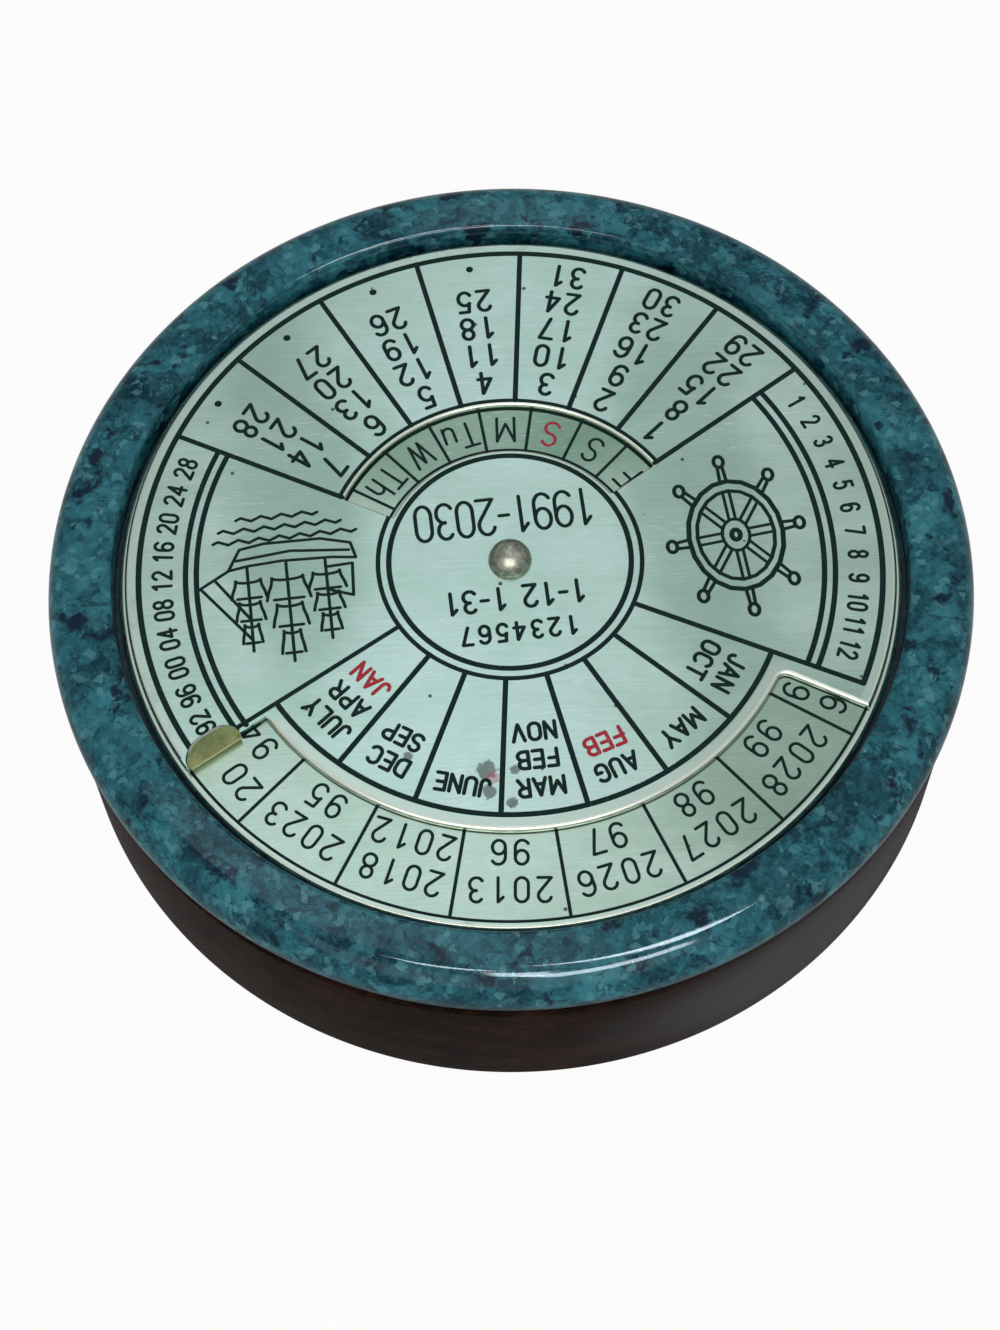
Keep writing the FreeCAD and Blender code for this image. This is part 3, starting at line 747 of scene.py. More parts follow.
SIX = ring(0.25, 0.29, 0.25, 0.29) + [bow(0.27, 0.70, 0.27, 0.30, 32, 180) + [(0, 0.29)]]
ROUND_C = bow(0.27, 0.70, 0.27, 0.30, 28, 180) + bow(0.27, 0.30, 0.27, 0.30, 180, 332)
LETTERS = {
    "0": [bow(0.25, 0.72, 0.25, 0.28, 90, 0) + bow(0.25, 0.28, 0.25, 0.28, 0, -90),
          bow(0.25, 0.72, 0.25, 0.28, 90, 180) + bow(0.25, 0.28, 0.25, 0.28, 180, 270)],
    "1": [[(0.08, 0.80), (0.28, 1)], [(0.28, 1), (0.28, 0)]],
    "2": [bow(0.25, 0.74, 0.25, 0.26, 165, -35) + [(0, 0)], [(0, 0), (0.52, 0)]],
    "3": [bow(0.23, 0.76, 0.23, 0.24, 150, -90), bow(0.23, 0.27, 0.26, 0.27, 90, -150)],
    "4": [[(0.38, 0), (0.38, 1)], [(0.38, 1), (0, 0.30)], [(0, 0.30), (0.54, 0.30)]],
    "5": [[(0.47, 1), (0.09, 1)], [(0.09, 1), (0.05, 0.56)], bow(0.22, 0.33, 0.27, 0.33, 135, -150)],
    "6": SIX,
    "7": [[(0, 1), (0.50, 1)], [(0.50, 1), (0.18, 0)]],
    "8": ring(0.25, 0.76, 0.22, 0.24) + ring(0.25, 0.26, 0.25, 0.26),
    "9": [[(0.50 - x, 1 - y) for x, y in stroke] for stroke in SIX],
    "A": [[(0, 0), (0.29, 1)], [(0.29, 1), (0.58, 0)], [(0.10, 0.33), (0.48, 0.33)]],
    "B": [[(0, 0), (0, 1)], [(0, 1)] + bow(0.24, 0.76, 0.23, 0.24, 90, -90) + [(0, 0.52)],
          [(0, 0.52)] + bow(0.24, 0.26, 0.27, 0.26, 90, -90) + [(0, 0)]],
    "C": [ROUND_C],
    "D": [[(0, 0), (0, 1)],
          [(0, 1)] + bow(0.20, 0.68, 0.33, 0.32, 90, 0) + bow(0.20, 0.32, 0.33, 0.32, 0, -90) + [(0, 0)]],
    "E": [[(0, 0), (0, 1)], [(0, 1), (0.46, 1)], [(0, 0.52), (0.40, 0.52)], [(0, 0), (0.46, 0)]],
    "F": [[(0, 0), (0, 1)], [(0, 1), (0.46, 1)], [(0, 0.52), (0.40, 0.52)]],
    "G": [ROUND_C, [(0.53, 0.24), (0.53, 0.46)], [(0.53, 0.46), (0.30, 0.46)]],
    "J": [[(0.40, 1)] + bow(0.20, 0.24, 0.20, 0.24, 0, -180)],
    "L": [[(0, 1), (0, 0)], [(0, 0), (0.42, 0)]],
    "M": [[(0, 0), (0, 1)], [(0, 1), (0.32, 0.25)], [(0.32, 0.25), (0.64, 1)], [(0.64, 1), (0.64, 0)]],
    "N": [[(0, 0), (0, 1)], [(0, 1), (0.50, 0)], [(0.50, 0), (0.50, 1)]],
    "O": [bow(0.27, 0.70, 0.27, 0.30, 90, 0) + bow(0.27, 0.30, 0.27, 0.30, 0, -90),
          bow(0.27, 0.70, 0.27, 0.30, 90, 180) + bow(0.27, 0.30, 0.27, 0.30, 180, 270)],
    "P": [[(0, 0), (0, 1)], [(0, 1)] + bow(0.25, 0.75, 0.24, 0.25, 90, -90) + [(0, 0.50)]],
    "R": [[(0, 0), (0, 1)], [(0, 1)] + bow(0.25, 0.75, 0.24, 0.25, 90, -90) + [(0, 0.50)],
          [(0.24, 0.50), (0.52, 0)]],
    "S": [bow(0.26, 0.75, 0.24, 0.25, 25, 270) + bow(0.24, 0.25, 0.26, 0.25, 75, -155)],
    "T": [[(0, 1), (0.54, 1)], [(0.27, 1), (0.27, 0)]],
    "U": [[(0, 1)] + bow(0.25, 0.26, 0.25, 0.26, 180, 360) + [(0.50, 1)]],
    "V": [[(0, 1), (0.28, 0)], [(0.28, 0), (0.56, 1)]],
    "W": [[(0, 1), (0.18, 0)], [(0.18, 0), (0.36, 0.90)], [(0.36, 0.90), (0.54, 0)], [(0.54, 0), (0.72, 1)]],
    "Y": [[(0, 1), (0.27, 0.48)], [(0.27, 0.48), (0.54, 1)], [(0.27, 0.48), (0.27, 0)]],
    "h": [[(0, 0), (0, 1)], [(0, 0.42)] + bow(0.19, 0.42, 0.19, 0.22, 180, 0) + [(0.38, 0)]],
    "u": [[(0, 0.64)] + bow(0.19, 0.21, 0.19, 0.21, 180, 360) + [(0.38, 0.64)], [(0.38, 0.64), (0.38, 0)]],
    "-": [[(0, 0.5), (0.3, 0.5)]],
    " ": [],
}
DIGIT_WIDTH, SPACE_WIDTH = 0.5, 0.3


def letter_width(mark):
    if mark.isdigit():
        return DIGIT_WIDTH
    return max((x for stroke in LETTERS[mark] for x, y in stroke), default=SPACE_WIDTH)


def ribbon(points, width):
    """Outline of a pen stroke along some points, with round ends, as one counter-clockwise loop."""
    points = [Vector(point) for point in points]
    steps = [(after - before).normalized() for before, after in zip(points, points[1:])]
    sides = []
    for before, after in zip(steps[:1] + steps, steps + steps[-1:]):
        along = (before + after).normalized()
        across = Vector((-along.y, along.x))
        sides.append(across * (width / 2 / max(0.5, along.dot(after))))
    left = [point + side for point, side in zip(points, sides)]
    right = [point - side for point, side in zip(points, sides)]
    return right + round_end(points[-1], -sides[-1]) + left[::-1] + round_end(points[0], sides[0])


def round_end(centre, side, steps=5):
    """Points inside a half turn about a stroke's end, counter-clockwise from one side."""
    turns = [math.pi * step / steps for step in range(1, steps)]
    return [centre + Matrix.Rotation(turn, 2) @ side for turn in turns]


class Artwork:
    """Strokes of one colour for one plate, in millimetres, collected before they are etched."""

    def __init__(self):
        self.outlines = []

    def stroke(self, points, width):
        self.outlines.append(ribbon(points, width))

    def arc(self, radius, start, end, width):
        steps = max(2, round(abs(end - start) / 1.5))
        turns = [math.radians(start + (end - start) * step / steps) for step in range(steps + 1)]
        self.stroke([(radius * math.cos(turn), radius * math.sin(turn)) for turn in turns], width)

    def circle(self, radius, width):
        self.arc(radius, 0, 180, width)
        self.arc(radius, 180, 360, width)

    def radial(self, angle, inner, outer, width, shift=0.0):
        turn = math.radians(angle)
        along = Vector((math.cos(turn), math.sin(turn)))
        aside = Vector((-along.y, along.x)) * shift
        self.stroke([along * radius + aside for radius in (inner, outer)], width)

    def write(self, words, place, up, height, width, gap=0.34, stretch=1.0, length=None):
        """Letter a line centred on a place. Up is the direction of the letters' tops in degrees."""
        size = height - width
        widths = [letter_width(mark) * stretch for mark in words]
        if length is not None:
            gap = ((length - width) / size - sum(widths)) / (len(words) - 1)
        pen = -(sum(widths) + gap * (len(words) - 1)) / 2
        tilt = Matrix.Rotation(math.radians(up - 90), 2)
        for mark, wide in zip(words, widths):
            for stroke in LETTERS[mark]:
                spots = [Vector((pen + x * stretch, y - 0.5)) * size for x, y in stroke]
                self.stroke([Vector(place) + tilt @ spot for spot in spots], width)
            pen += wide + gap

    def write_at(self, words, angle, radius, height, width, inwards=False, **spacing):
        """Letter a line on the dial at an angle and a radius, with its tops out or in."""
        turn = math.radians(angle)
        place = (radius * math.cos(turn), radius * math.sin(turn))
        self.write(words, place, angle + 180 * inwards, height, width, **spacing)


print("letters:", "".join(sorted(LETTERS)))

# %% [markdown]
# Etching eats all strokes of a colour at once, so they are joined before they are cut. Triangulating
# their outlines together gives one flat sheet, whatever crosses whatever. The sheet is pulled up
# through the plate's face and cut away. Its bottom keeps the enamel's finish and its walls the
# polished brass, so each groove has a real depth and a coloured floor.

# %% Etching
ETCH_DEPTH = 0.15 * MM


def etch(plate, artwork, top, fill):
    """Cut an artwork into a plate's top face and fill it with the enamel of a material slot."""
    corners, loops = [], []
    for outline in artwork.outlines:
        loops.append(list(range(len(corners), len(corners) + len(outline))))
        corners += outline
    points, _, faces, _, _, sources = delaunay_2d_cdt(corners, [], loops, 0, 1e-5, True)
    inside = [face for face, source in zip(faces, sources) if source]
    sheet = bpy.data.meshes.new("etching")
    sheet.from_pydata([(x * MM, y * MM, top - ETCH_DEPTH) for x, y in points], [], inside)
    tool = bpy.data.objects.new("etching", sheet)
    bpy.context.collection.objects.link(tool)
    for material in plate.data.materials:
        sheet.materials.append(material)
    take(tool)
    edit_all()
    bpy.ops.mesh.delete_loose(use_verts=True, use_edges=True, use_faces=False)
    bpy.ops.mesh.select_all(action="SELECT")
    pull((0, 0, 3 * ETCH_DEPTH))
    face_outwards()
    for face in sheet.polygons:
        face.material_index = fill if face.normal.z < -0.9 else SLOT_EDGE
    print(f"{plate.name}: {len(artwork.outlines)} strokes, {len(inside)} triangles")
    carve(plate, tool)


# %% [markdown]
# The rear plate is a plain punched disc with a rolled rim. Its outer part holds a table of years, two
# to a column, and its middle a ring of weekdays, all in 21 columns. Only what the front plate's two
# windows uncover can be read, but the whole plate is etched, because the windows turn over it.

# %% Rear plate
COLUMNS = 21
COLUMN = 360 / COLUMNS
YEAR_COLUMN_START, WEEKDAY_COLUMN_START = 91.67, -86.7
YEARS = [
    # outer and inner year of each column, clockwise from the left end of the window
    ("2016", "2009"), ("2028", "99"), ("2027", "98"), ("2026", "97"), ("2013", "96"), ("2018", "2012"),
    ("2023", "95"), ("20 22", "94"), ("2021", "93"), ("2020", "92"), ("2025", "2003"), ("2024", "91"),
    ("2029", "2001"), ("2017", "2000"), ("2011", ""), ("2010", "2004"), ("2015", "2005"),
    ("2014", "2008"), ("2019", "02 30"), ("2007", ""), ("2006", ""),
]
TAB_SHIFT = 0.8  # degrees by which the parted number beside the finger tab is moved under it
WEEKDAYS = ["M", "Tu", "W", "Th", "F", "S", "S"]
YEAR_MARGIN, YEAR_RIM_ROUND, YEAR_HOLE = 0.72 * MM, 0.5 * MM, 1.51 * MM
# the artwork's radii, and the years' height, pen and gaps, in millimetres
YEAR_CIRCLE, WEEK_OUTER, WEEK_INNER, YEAR_LINES = 37.1, 17.6, 12.85, (27.9, 37.0)
YEAR_ROW, OTHER_YEAR_ROW, WEEK_ROW = 34.0, 30.3, 15.2
YEAR_HEIGHT, YEAR_PEN, GAP, NARROW_GAP = 2.7, 0.31, 0.38, 0.2

year_plate = add_disc(
    "etched_year_plate", YEAR_RADIUS, YEAR_LOW, YEAR_TOP,
    [year_finish, edge_finish, dark_enamel, red_enamel, raw_finish, margin_finish],
)
add_margin(year_plate, YEAR_MARGIN)
pick(year_plate, "EDGE", ring_at(YEAR_RADIUS, YEAR_TOP))
round_over(YEAR_RIM_ROUND, 6, SLOT_EDGE)
finish_edit()
drill(year_plate, YEAR_HOLE)

year_dark, year_red = Artwork(), Artwork()
year_dark.circle(YEAR_CIRCLE, 0.30)
year_dark.circle(WEEK_OUTER, 0.28)
year_dark.circle(WEEK_INNER, 0.28)
for number, (outer, inner) in enumerate(YEARS):
    middle = YEAR_COLUMN_START + COLUMN * (3.5 - number)
    year_dark.radial(middle + COLUMN / 2, *YEAR_LINES, 0.34)
    aside = TAB_SHIFT if " " in outer else 0
    year_dark.write_at(outer, middle - aside, YEAR_ROW, YEAR_HEIGHT, YEAR_PEN, gap=GAP)
    if inner:
        gap = GAP if len(inner) < 5 else NARROW_GAP
        year_dark.write_at(inner, middle, OTHER_YEAR_ROW, YEAR_HEIGHT, YEAR_PEN, gap=gap)
for number in range(COLUMNS):
    middle = WEEKDAY_COLUMN_START + COLUMN * (number - 0.5)
    year_dark.radial(middle + COLUMN / 2, WEEK_INNER, WEEK_OUTER, 0.32)
    day = number % len(WEEKDAYS)
    paint = year_red if day == len(WEEKDAYS) - 1 else year_dark
    paint.write_at(WEEKDAYS[day], middle, WEEK_ROW, 3.0, 0.30, inwards=True, gap=0.25)
etch(year_plate, year_dark, YEAR_TOP, SLOT_DARK)
etch(year_plate, year_red, YEAR_TOP, SLOT_RED)
soften(year_plate)

# %% [markdown]
# The front plate starts as the same kind of disc. One wide window opens to the rim over the years,
# and a closed one shows a week. The windows are punched, and then every edge that a hand touches is
# rounded over, apart from the side where the finger tab stands.

# %% Front plate
YEAR_WINDOW = (28.45 * MM, 29.0, 147.8)
DAY_WINDOW = (12.45 * MM, 17.70 * MM, 210.0, 330.0)
TAB_ANGLE = YEAR_WINDOW[1]
YEAR_CORNER, DAY_CORNER = 1.0 * MM, 0.25 * MM
MONTH_MARGIN, MONTH_HOLE = MONTH_RADIUS - 36.3 * MM, 1.55 * MM
OUTER_ROUND, INNER_ROUND, BETWEEN_WINDOWS = 0.42 * MM, 0.28 * MM, 20 * MM
THROUGH_LOW, THROUGH_HIGH = MONTH_LOW - MM, MONTH_TOP + MM

month_plate = add_disc(
    "etched_month_plate", MONTH_RADIUS, MONTH_LOW, MONTH_TOP,
    [month_finish, edge_finish, dark_enamel, red_enamel, raw_finish, margin_finish],
)
add_margin(month_plate, MONTH_MARGIN)
year_punch = sector(
    YEAR_WINDOW[0], MONTH_RADIUS + 3 * MM, *YEAR_WINDOW[1:], THROUGH_LOW, THROUGH_HIGH,
    YEAR_CORNER, lambda place: place[0] < 29 * MM and place[1] > 147,
)
carve(month_plate, year_punch)
day_punch = sector(
    *DAY_WINDOW, THROUGH_LOW, THROUGH_HIGH,
    DAY_CORNER, lambda place: min(abs(place[1] - side) for side in DAY_WINDOW[2:]) < 0.1,
)
carve(month_plate, day_punch)


def is_worn_edge(edge):
    """Whether an edge of the top face is an outline that is rounded over, away from the tab's side."""
    if min(vertex.co.z for vertex in edge.verts) < MONTH_TOP - TINY:
        return False
    if all(abs(face.normal.z) > 0.5 for face in edge.link_faces):
        return False
    return max(abs(polar(vertex.co)[1] - TAB_ANGLE) for vertex in edge.verts) > 0.01


found = 0
for rounding, is_outer in ((OUTER_ROUND, True), (INNER_ROUND, False)):
    found += pick(
        month_plate, "EDGE",
        lambda edge: is_worn_edge(edge) and (polar(edge.verts[0].co)[0] > BETWEEN_WINDOWS) == is_outer,
    )
    round_over(rounding, 5, SLOT_EDGE)
finish_edit()
drill(month_plate, MONTH_HOLE)
print("front plate: rounded edges", found)

# %% [markdown]
# The finger tab is a tongue of the same sheet, bent up from the window's side and back over the
# plate. A short bar lies in the plate, its end face is spun about the bend line, and then pulled out
# straight. Rounding the two corners of the tip gives the tab its D shape.

# %% Finger tab
TAB_NEAR, TAB_FAR = 31.45 * MM, 37.3 * MM
TAB_ROOT = 1.0 * MM
BEND_INSIDE, BEND_TURN = 0.1 * MM, 110
TAB_STRAIGHT = 2.7 * MM
TAB_CORNER = 2.35 * MM
TAB_THINNING = 0.3 * MM

bpy.ops.mesh.primitive_cube_add(
    size=1, location=((TAB_NEAR + TAB_FAR) / 2, -TAB_ROOT / 2, (MONTH_LOW + MONTH_TOP) / 2)
)
tab = bpy.context.object
tab.name = "finger_tab"
tab.scale = (TAB_FAR - TAB_NEAR, TAB_ROOT, SHEET)
settle()
for material in month_plate.data.materials:
    tab.data.materials.append(material)
pick(tab, "FACE", lambda face: face.normal.y > 0.9)
bpy.ops.mesh.spin(
    steps=10, angle=math.radians(-BEND_TURN), center=(0, 0, MONTH_TOP + BEND_INSIDE), axis=(1, 0, 0)
)
lean = math.radians(BEND_TURN)
outwards = Vector((0, math.cos(lean), math.sin(lean)))
back = Vector((0, math.sin(lean), -math.cos(lean)))
pull(outwards * TAB_STRAIGHT)
finish_edit()
tip = max(vertex.co @ outwards for vertex in tab.data.vertices)


def is_tip_corner(edge):
    along = (edge.verts[1].co - edge.verts[0].co).normalized()
    return abs(along @ back) > 0.99 and all(vertex.co @ outwards > tip - TINY for vertex in edge.verts)


pick(tab, "EDGE", is_tip_corner)
round_over(TAB_CORNER, 10)
finish_edit()
bend_line = Vector((0, 0, MONTH_TOP + BEND_INSIDE))


def is_inner_rim(edge):
    """Whether an edge of the tongue's inner face follows its D shape."""
    offsets = [(vertex.co - bend_line) @ back - BEND_INSIDE for vertex in edge.verts]
    heights = [(vertex.co - bend_line) @ outwards for vertex in edge.verts]
    on_face = max(abs(offset) for offset in offsets) < TINY and min(heights) > -TINY
    return on_face and any(abs(face.normal @ back) < 0.5 for face in edge.link_faces)


pick(tab, "EDGE", is_inner_rim)
round_over(TAB_THINNING, 3)
finish_edit()
for face in tab.data.polygons:
    on_back = face.center.z > MONTH_TOP + BEND_INSIDE and face.normal @ back > 0.5
    under_bend = face.center.y > TINY and face.normal.z < -0.1
    other = SLOT_EDGE if abs(face.normal.z) < 0.99 else SLOT_FACE
    face.material_index = SLOT_RAW if on_back or under_bend else other
tab_heights = [round(vertex.co.z / MM, 2) for vertex in tab.data.vertices]
print("tab top:", max(tab_heights), "frame:", round(TAB_TOP / MM, 2))
take(tab)
tab.rotation_euler.z = math.radians(TAB_ANGLE)
settle()
carve(month_plate, tab, "UNION")

# %% [markdown]
# The front plate's artwork is a grid of panels. The months fan out above the middle, the days hang
# below it, and two side panels hold pictures. A round medallion in the middle carries plain numbers.

# %% Front plate artwork
MONTHS = [
    # months of each column from the rim inwards, left to right; a star marks those of leap years
    ["JAN", "OCT"], ["MAY"], ["AUG", "FEB*"], ["MAR", "FEB", "NOV"], ["JUNE"], ["DEC", "SEP"],
    ["JULY", "APR", "JAN*"],
]
MONTH_ROWS = (24.2, 21.35, 18.5)
MONTH_START, MONTH_PITCH = 142.33, 17.443
DAY_ROWS = (20.4, 23.7, 27.0, 30.3, 33.55)
LEFT_END, RIGHT_END = 151.05, 28.35
LOWER_LEFT, LOWER_RIGHT = 210.25, -30.25
WEEK, LAST_DAY = len(WEEKDAYS), 31
DOT_ROW, DOT_WIDTH = 34.3, 0.75
# radii of the artwork's circles, in millimetres
RIM_LINE, MONTH_ARC, DAY_ARC, WEEK_ARC, MEDALLION, PANEL_ARCS = 36.0, 26.85, 18.2, 12.8, 11.75, (30.4, 31.45)

dark, red = Artwork(), Artwork()
dark.arc(RIM_LINE, LEFT_END, RIGHT_END + 360, 0.58)
dark.circle(MEDALLION, 0.54)
dark.arc(WEEK_ARC, LOWER_RIGHT, LOWER_LEFT, 0.46)
dark.arc(MONTH_ARC, RIGHT_END, LEFT_END, 0.54)
dark.radial(LEFT_END, WEEK_ARC, RIM_LINE, 0.52)
dark.radial(RIGHT_END, WEEK_ARC, RIM_LINE, 0.46, shift=-0.25)
for column in range(1, len(MONTHS)):
    dark.radial(LEFT_END - MONTH_PITCH * column, WEEK_ARC, MONTH_ARC, 0.52)
for column, names in enumerate(MONTHS):
    middle = MONTH_START - MONTH_PITCH * column
    for row, month in zip(MONTH_ROWS, names):
        paint = red if month.endswith("*") else dark
        paint.write_at(month.strip("*"), middle, row, 2.1, 0.38, gap=0.27, stretch=1.12)
for radius in PANEL_ARCS:
    dark.arc(radius, LEFT_END, LOWER_LEFT, 0.54)
    dark.arc(radius, LOWER_RIGHT, RIGHT_END, 0.54)
for side in (LOWER_LEFT, LOWER_RIGHT):
    dark.radial(side, DAY_ARC - 0.25, RIM_LINE, 0.52)
dark.arc(DAY_ARC, LOWER_LEFT, LOWER_RIGHT + 360, 0.42)
for column in range(WEEK):
    middle = -90 + COLUMN * (column - 3)
    if column < WEEK - 1:
        dark.radial(middle + COLUMN / 2, DAY_ARC, RIM_LINE, 0.52)
    for row, radius in enumerate(DAY_ROWS):
        day = column + 1 + WEEK * row
        if day <= LAST_DAY:
            dark.write_at(str(day), middle, radius, 2.8, 0.40, inwards=True)
        else:
            turn = math.radians(middle)
            dot = Vector((math.cos(turn), math.sin(turn))) * DOT_ROW
            dark.stroke([dot, dot + Vector((0.02, 0))], DOT_WIDTH)

# %% [markdown]
# The side bands carry the numbers of the months and of the leap years, and the medallion plain
# counting rows and the span of years. They stay level with the plate, not turned round it.

# %% Bands and medallion
BAND_RADIUS, BAND_SPAN = 33.72, 49
BANDS = [
    # numbers of a band in their order, angle of the first, and gap and stretch of the digits
    ([str(month) for month in range(1, 13)], 205, 0.2, 0.78),
    ([str(year)[2:] for year in range(1992, 2030, 4)], 24, 0.24, 0.9),
]

for numbers, first, gap, stretch in BANDS:
    for place, number in enumerate(numbers):
        middle = first - BAND_SPAN * place / (len(numbers) - 1)
        dark.write_at(number, middle, BAND_RADIUS, 2.1, 0.33, gap=gap, stretch=stretch)
dark.write("1 2 3 4 5 6 7", (0, 7.8), 90, 2.2, 0.36, length=11.4)
dark.write("1-12 1-31", (0, 4.15), 90, 2.7, 0.38, length=13.8)
dark.write("1991-2030", (0, -5.0), 90, 4.3, 0.38, stretch=0.78, length=17.7)

# %% [markdown]
# The two side panels hold a ship's wheel and a sailing ship, the common ornaments of such desk
# pieces, drawn here from scratch. The wheel is made of rings and of one spoke turned eight times. It
# is a little narrow, as if seen at a slant. The ship has three masts with bellied sails over a plain
# hull and three waves.

# %% Wheel
WHEEL_PLACE = Vector((-22.15, 0))
WHEEL_SQUEEZE, WHEEL_TURN, SPOKES = 0.76, 4, 8
WHEEL_RIM, WHEEL_INSIDE, WHEEL_HUB = 6.05, 4.95, 1.75


def on_wheel(radius, turn, aside=0.0):
    turn = math.radians(turn)
    x = radius * math.cos(turn) - aside * math.sin(turn)
    y = radius * math.sin(turn) + aside * math.cos(turn)
    return WHEEL_PLACE + Vector((x * WHEEL_SQUEEZE, y))


def wheel_ring(radius, width, centre=WHEEL_PLACE):
    for start in (0, 180):
        dark.stroke(bow(*centre, radius * WHEEL_SQUEEZE, radius, start, start + 180), width)


for radius, width in ((WHEEL_RIM, 0.50), (WHEEL_INSIDE, 0.40), (WHEEL_HUB, 0.34), (0.55, 0.5)):
    wheel_ring(radius, width)
for spoke in range(SPOKES):
    turn = WHEEL_TURN + 360 / SPOKES * spoke
    for aside in (-0.42, 0.42):
        dark.stroke([on_wheel(WHEEL_HUB, turn, aside), on_wheel(WHEEL_INSIDE, turn, aside)], 0.32)
        dark.stroke([on_wheel(WHEEL_RIM, turn, aside), on_wheel(7.75, turn, aside * 0.75)], 0.36)
    wheel_ring(0.62, 0.40, on_wheel(8.35, turn))

# %% Sailing ship
SHIP_PLACE = Vector((22.1, 0))
MASTS = [
    # x of the mast, height of its top, and the half widths of its three sails from the top
    (-4.3, 5.4, (0.85, 1.25, 1.55)),
    (-0.5, 7.4, (0.95, 1.45, 1.80)),
    (3.3, 5.9, (0.80, 1.20, 1.45)),
]
DECK, PEN = -2.4, 0.32
SHIP_LINES = [
    # bowsprit and its stays, the stern sail, and the hull
    ((4.9, -2.3), (8.2, -0.4)), ((3.3, 5.6), (7.9, -0.5)), ((3.3, 3.4), (6.5, -1.3)),
    ((-4.3, 1.0), (-6.7, 1.9)), ((-6.7, 1.9), (-6.9, -1.6)), ((-6.9, -1.6), (-4.5, -1.5)),
    ((-7.3, -2.2), (-5.0, -2.5), (0, -2.7), (3.2, -2.5), (5.1, -2.2)), ((-7.3, -2.2), (-6.9, -3.9)),
    ((-6.9, -3.9), (-4.0, -4.7), (1.5, -4.8), (3.9, -4.4)), ((3.9, -4.4), (5.1, -2.2)),
    ((-6.7, -3.1), (-1, -3.7), (4.3, -3.2)),
]


def ship_line(*points):
    dark.stroke([SHIP_PLACE + Vector(point) for point in points], PEN)


for x, top, widths in MASTS:
    ship_line((x, DECK), (x, top + 0.9))
    height = (top - DECK - 1.0) / 3
    for step, half in enumerate(widths):
        high = top - step * height
        low = high - height * 0.82
        ship_line((x - half * 0.8, high), (x + half * 0.8, high))
        belly = [
            (x + half * (1.0 - 0.18 * math.cos(turn)), low + (high - low) * turn / 3) for turn in (0, 1, 2, 3)
        ]
        ship_line(*[(2 * x - px, py) for px, py in belly])
        ship_line(*belly)
        ship_line(*bow(x, low, half * 0.85, 0.3, 0, 180))
for points in SHIP_LINES:
    ship_line(*points)
for x, y, count in ((-7.6, -5.3, 7), (-6.2, -6.5, 6), (-4.0, -7.7, 4)):
    wave = [(x + step * 0.5, y + 0.22 * math.sin(step * math.pi / 2)) for step in range(count * 4 + 1)]
    ship_line(*wave)
etch(month_plate, dark, MONTH_TOP, SLOT_DARK)
etch(month_plate, red, MONTH_TOP, SLOT_RED)
soften(month_plate)

# %% [markdown]
# The rivet is one lathe shape: a domed head, a shank through both plates and a tail that was
# hammered flat below. A ball cut off at the plate's face gives the true dome, and insetting and
# pulling its flat underside makes the rest.

# %% Domed rivet
HEAD_RADIUS, HEAD_LOW = 2.1 * MM, MONTH_TOP + 0.05 * MM
SHANK_RADIUS, TAIL_TOP = 1.5 * MM, YEAR_LOW
dome_height = HEAD_TOP - HEAD_LOW
ball_radius = (HEAD_RADIUS ** 2 + dome_height ** 2) / (2 * dome_height)

bpy.ops.mesh.primitive_uv_sphere_add(
    segments=64, ring_count=64, radius=ball_radius, location=(0, 0, HEAD_TOP - ball_radius)
)
rivet = bpy.context.object
rivet.name = rivet.data.name = "domed_rivet"
settle()
rivet.data.materials.append(rivet_finish)
edit_all()
bpy.ops.mesh.bisect(plane_co=(0, 0, HEAD_LOW), plane_no=(0, 0, 1), use_fill=True, clear_inner=True)
finish_edit()
pick(rivet, "FACE", lambda face: face.normal.z < -0.9)
bpy.ops.mesh.inset(thickness=HEAD_RADIUS - SHANK_RADIUS, depth=0)
pull((0, 0, TAIL_TOP - HEAD_LOW))
pull((0, 0, 0))
wider = TAIL_RADIUS / SHANK_RADIUS
bpy.ops.transform.resize(value=(wider, wider, 1), center_override=(0, 0, TAIL_TOP))
pull((0, 0, TAIL_LOW - TAIL_TOP))
finish_edit()
soften(rivet, 40)

# %% [markdown]
# Two hidden CAD pieces keep their own shape and only get a finish. Every new piece then rides on the
# body that moves it: the front plate on the dial, and all the others on the base.

# %% Finishes of kept pieces, and bodies
for node, material in (("adhesive_pad", tape_finish), ("friction_washer", nylon_finish)):
    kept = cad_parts[node]
    for slot in kept.material_slots:
        slot.material = material

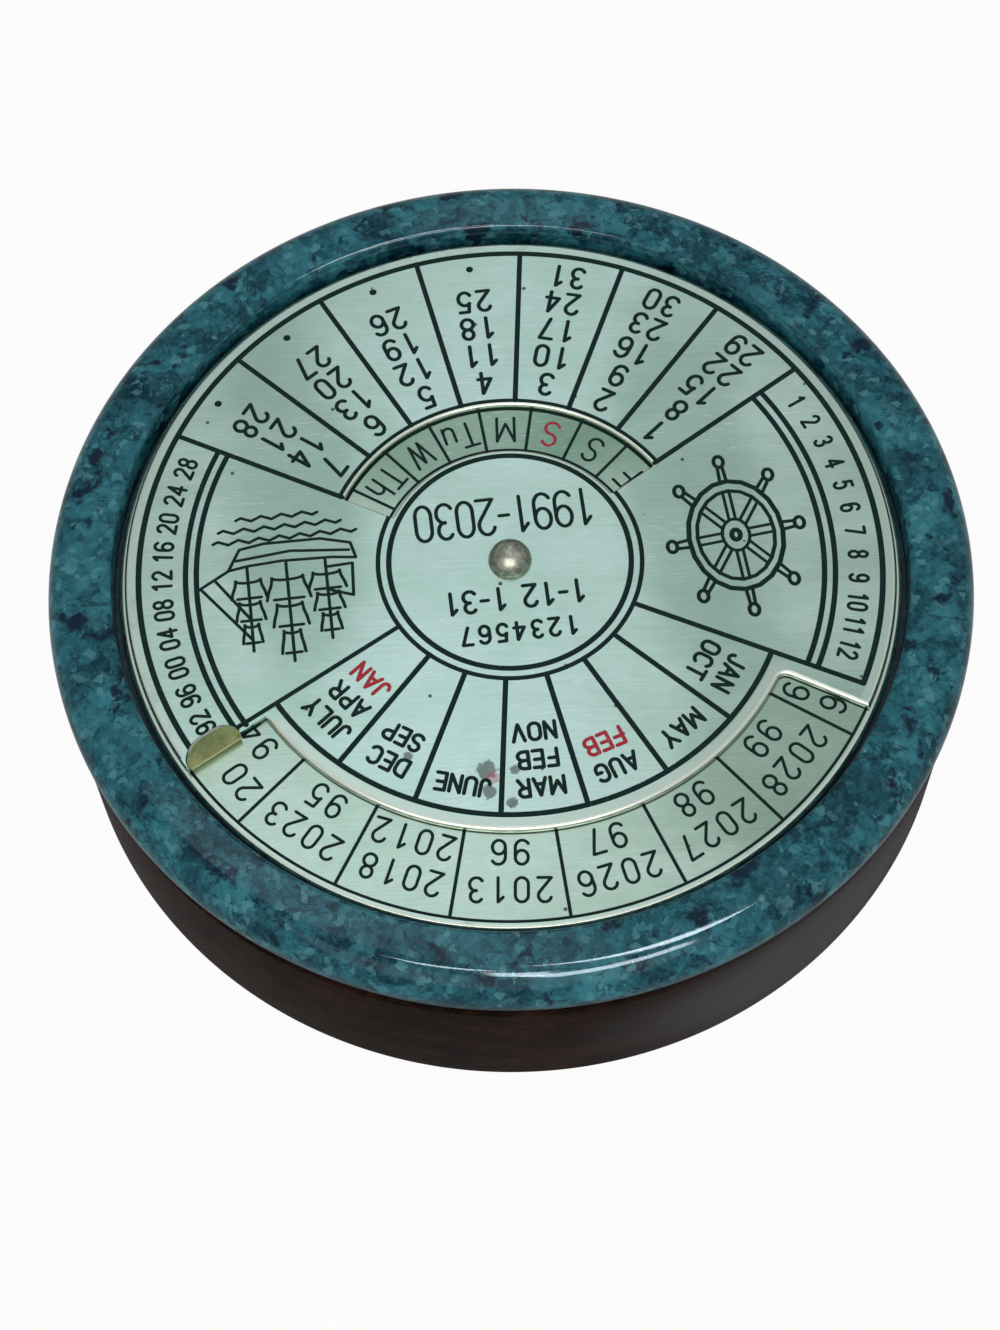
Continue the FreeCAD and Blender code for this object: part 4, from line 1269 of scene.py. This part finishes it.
PIECES = {
    # piece: (body, replaced node, slot)
    felt: ("base", "felt_pad", "felt"),
    base: ("base", "wood_base", "wood"),
    stone: ("base", "marble_disc", "stone"),
    year_plate: ("base", "year_plate", "year_brass"),
    rivet: ("base", "pivot_rivet", "rivet_brass"),
    month_plate: ("dial", "month_plate", "month_brass"),
}
for piece, (body, node, slot) in PIECES.items():
    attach(piece, body)
    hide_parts(node)
stone_only.objects.link(stone)
print("pieces:", [piece.name for piece in PIECES])

# %% [markdown]
# The calendar lies on a plain white table, as in a shop photograph. The table has a real white
# colour and keeps the soft shadow. For the camera, and for what polished faces mirror, a little of
# its own light lifts it to the white of the background. The world is a soft room, brighter on the
# window's side.

# %% Table and world
bpy.ops.mesh.primitive_plane_add(size=6, location=(0, 0, FLOOR - 0.05 * MM))
table = bpy.context.object
table.name = "white_table"
settle()

GLOW_SEEN, GLOW_MIRRORED, CLOTH = 0.95, 0.1, (0.6, 0.6, 0.6, 1)


def seen(finish):
    """Share of the table's own light: most for the camera, less in a mirror and none as a lamp."""
    names = ("Is Camera Ray", "Is Glossy Ray", "Is Transmission Ray")
    straight, mirrored, through = [finish.node("LightPath", output=name) for name in names]
    return straight * GLOW_SEEN + (mirrored + through) * GLOW_MIRRORED


def white_table():
    finish = Finish("white_table")
    cloth = finish.node("BsdfDiffuse", inputs={"Color": CLOTH})
    glow = finish.node("Emission", inputs={"Color": (1, 1, 1, 1), "Strength": 1})
    both = finish.node("MixShader", inputs={0: seen(finish), 1: cloth, 2: glow})
    finish.node("OutputMaterial", inputs={"Surface": both})
    return finish.owner


table.data.materials.append(white_table())

BRIGHT_SIDE = (0.0, 0.5, 0.87)
DIM_LEVEL, BRIGHT_LEVEL = 0.37, 0.76

bpy.context.scene.world = bpy.data.worlds.new("soft_room")
sky = Finish(bpy.context.scene.world)
direction = sky.node("TexCoord", output="Generated")
towards = sky.node("VectorMath", {"operation": "DOT_PRODUCT"}, {0: direction, 1: BRIGHT_SIDE}, "Value")
inputs = {"Value": towards, "From Min": 0.0, "From Max": 1.0, "To Min": DIM_LEVEL, "To Max": BRIGHT_LEVEL}
level = sky.node("MapRange", inputs=inputs)
behind = sky.node("LightPath", output="Is Camera Ray")
plain = level * (1 - behind) + behind
light = sky.node("Background", inputs={"Color": (0.97, 0.99, 1.0, 1), "Strength": plain})
sky.node("OutputWorld", inputs={"Surface": light})
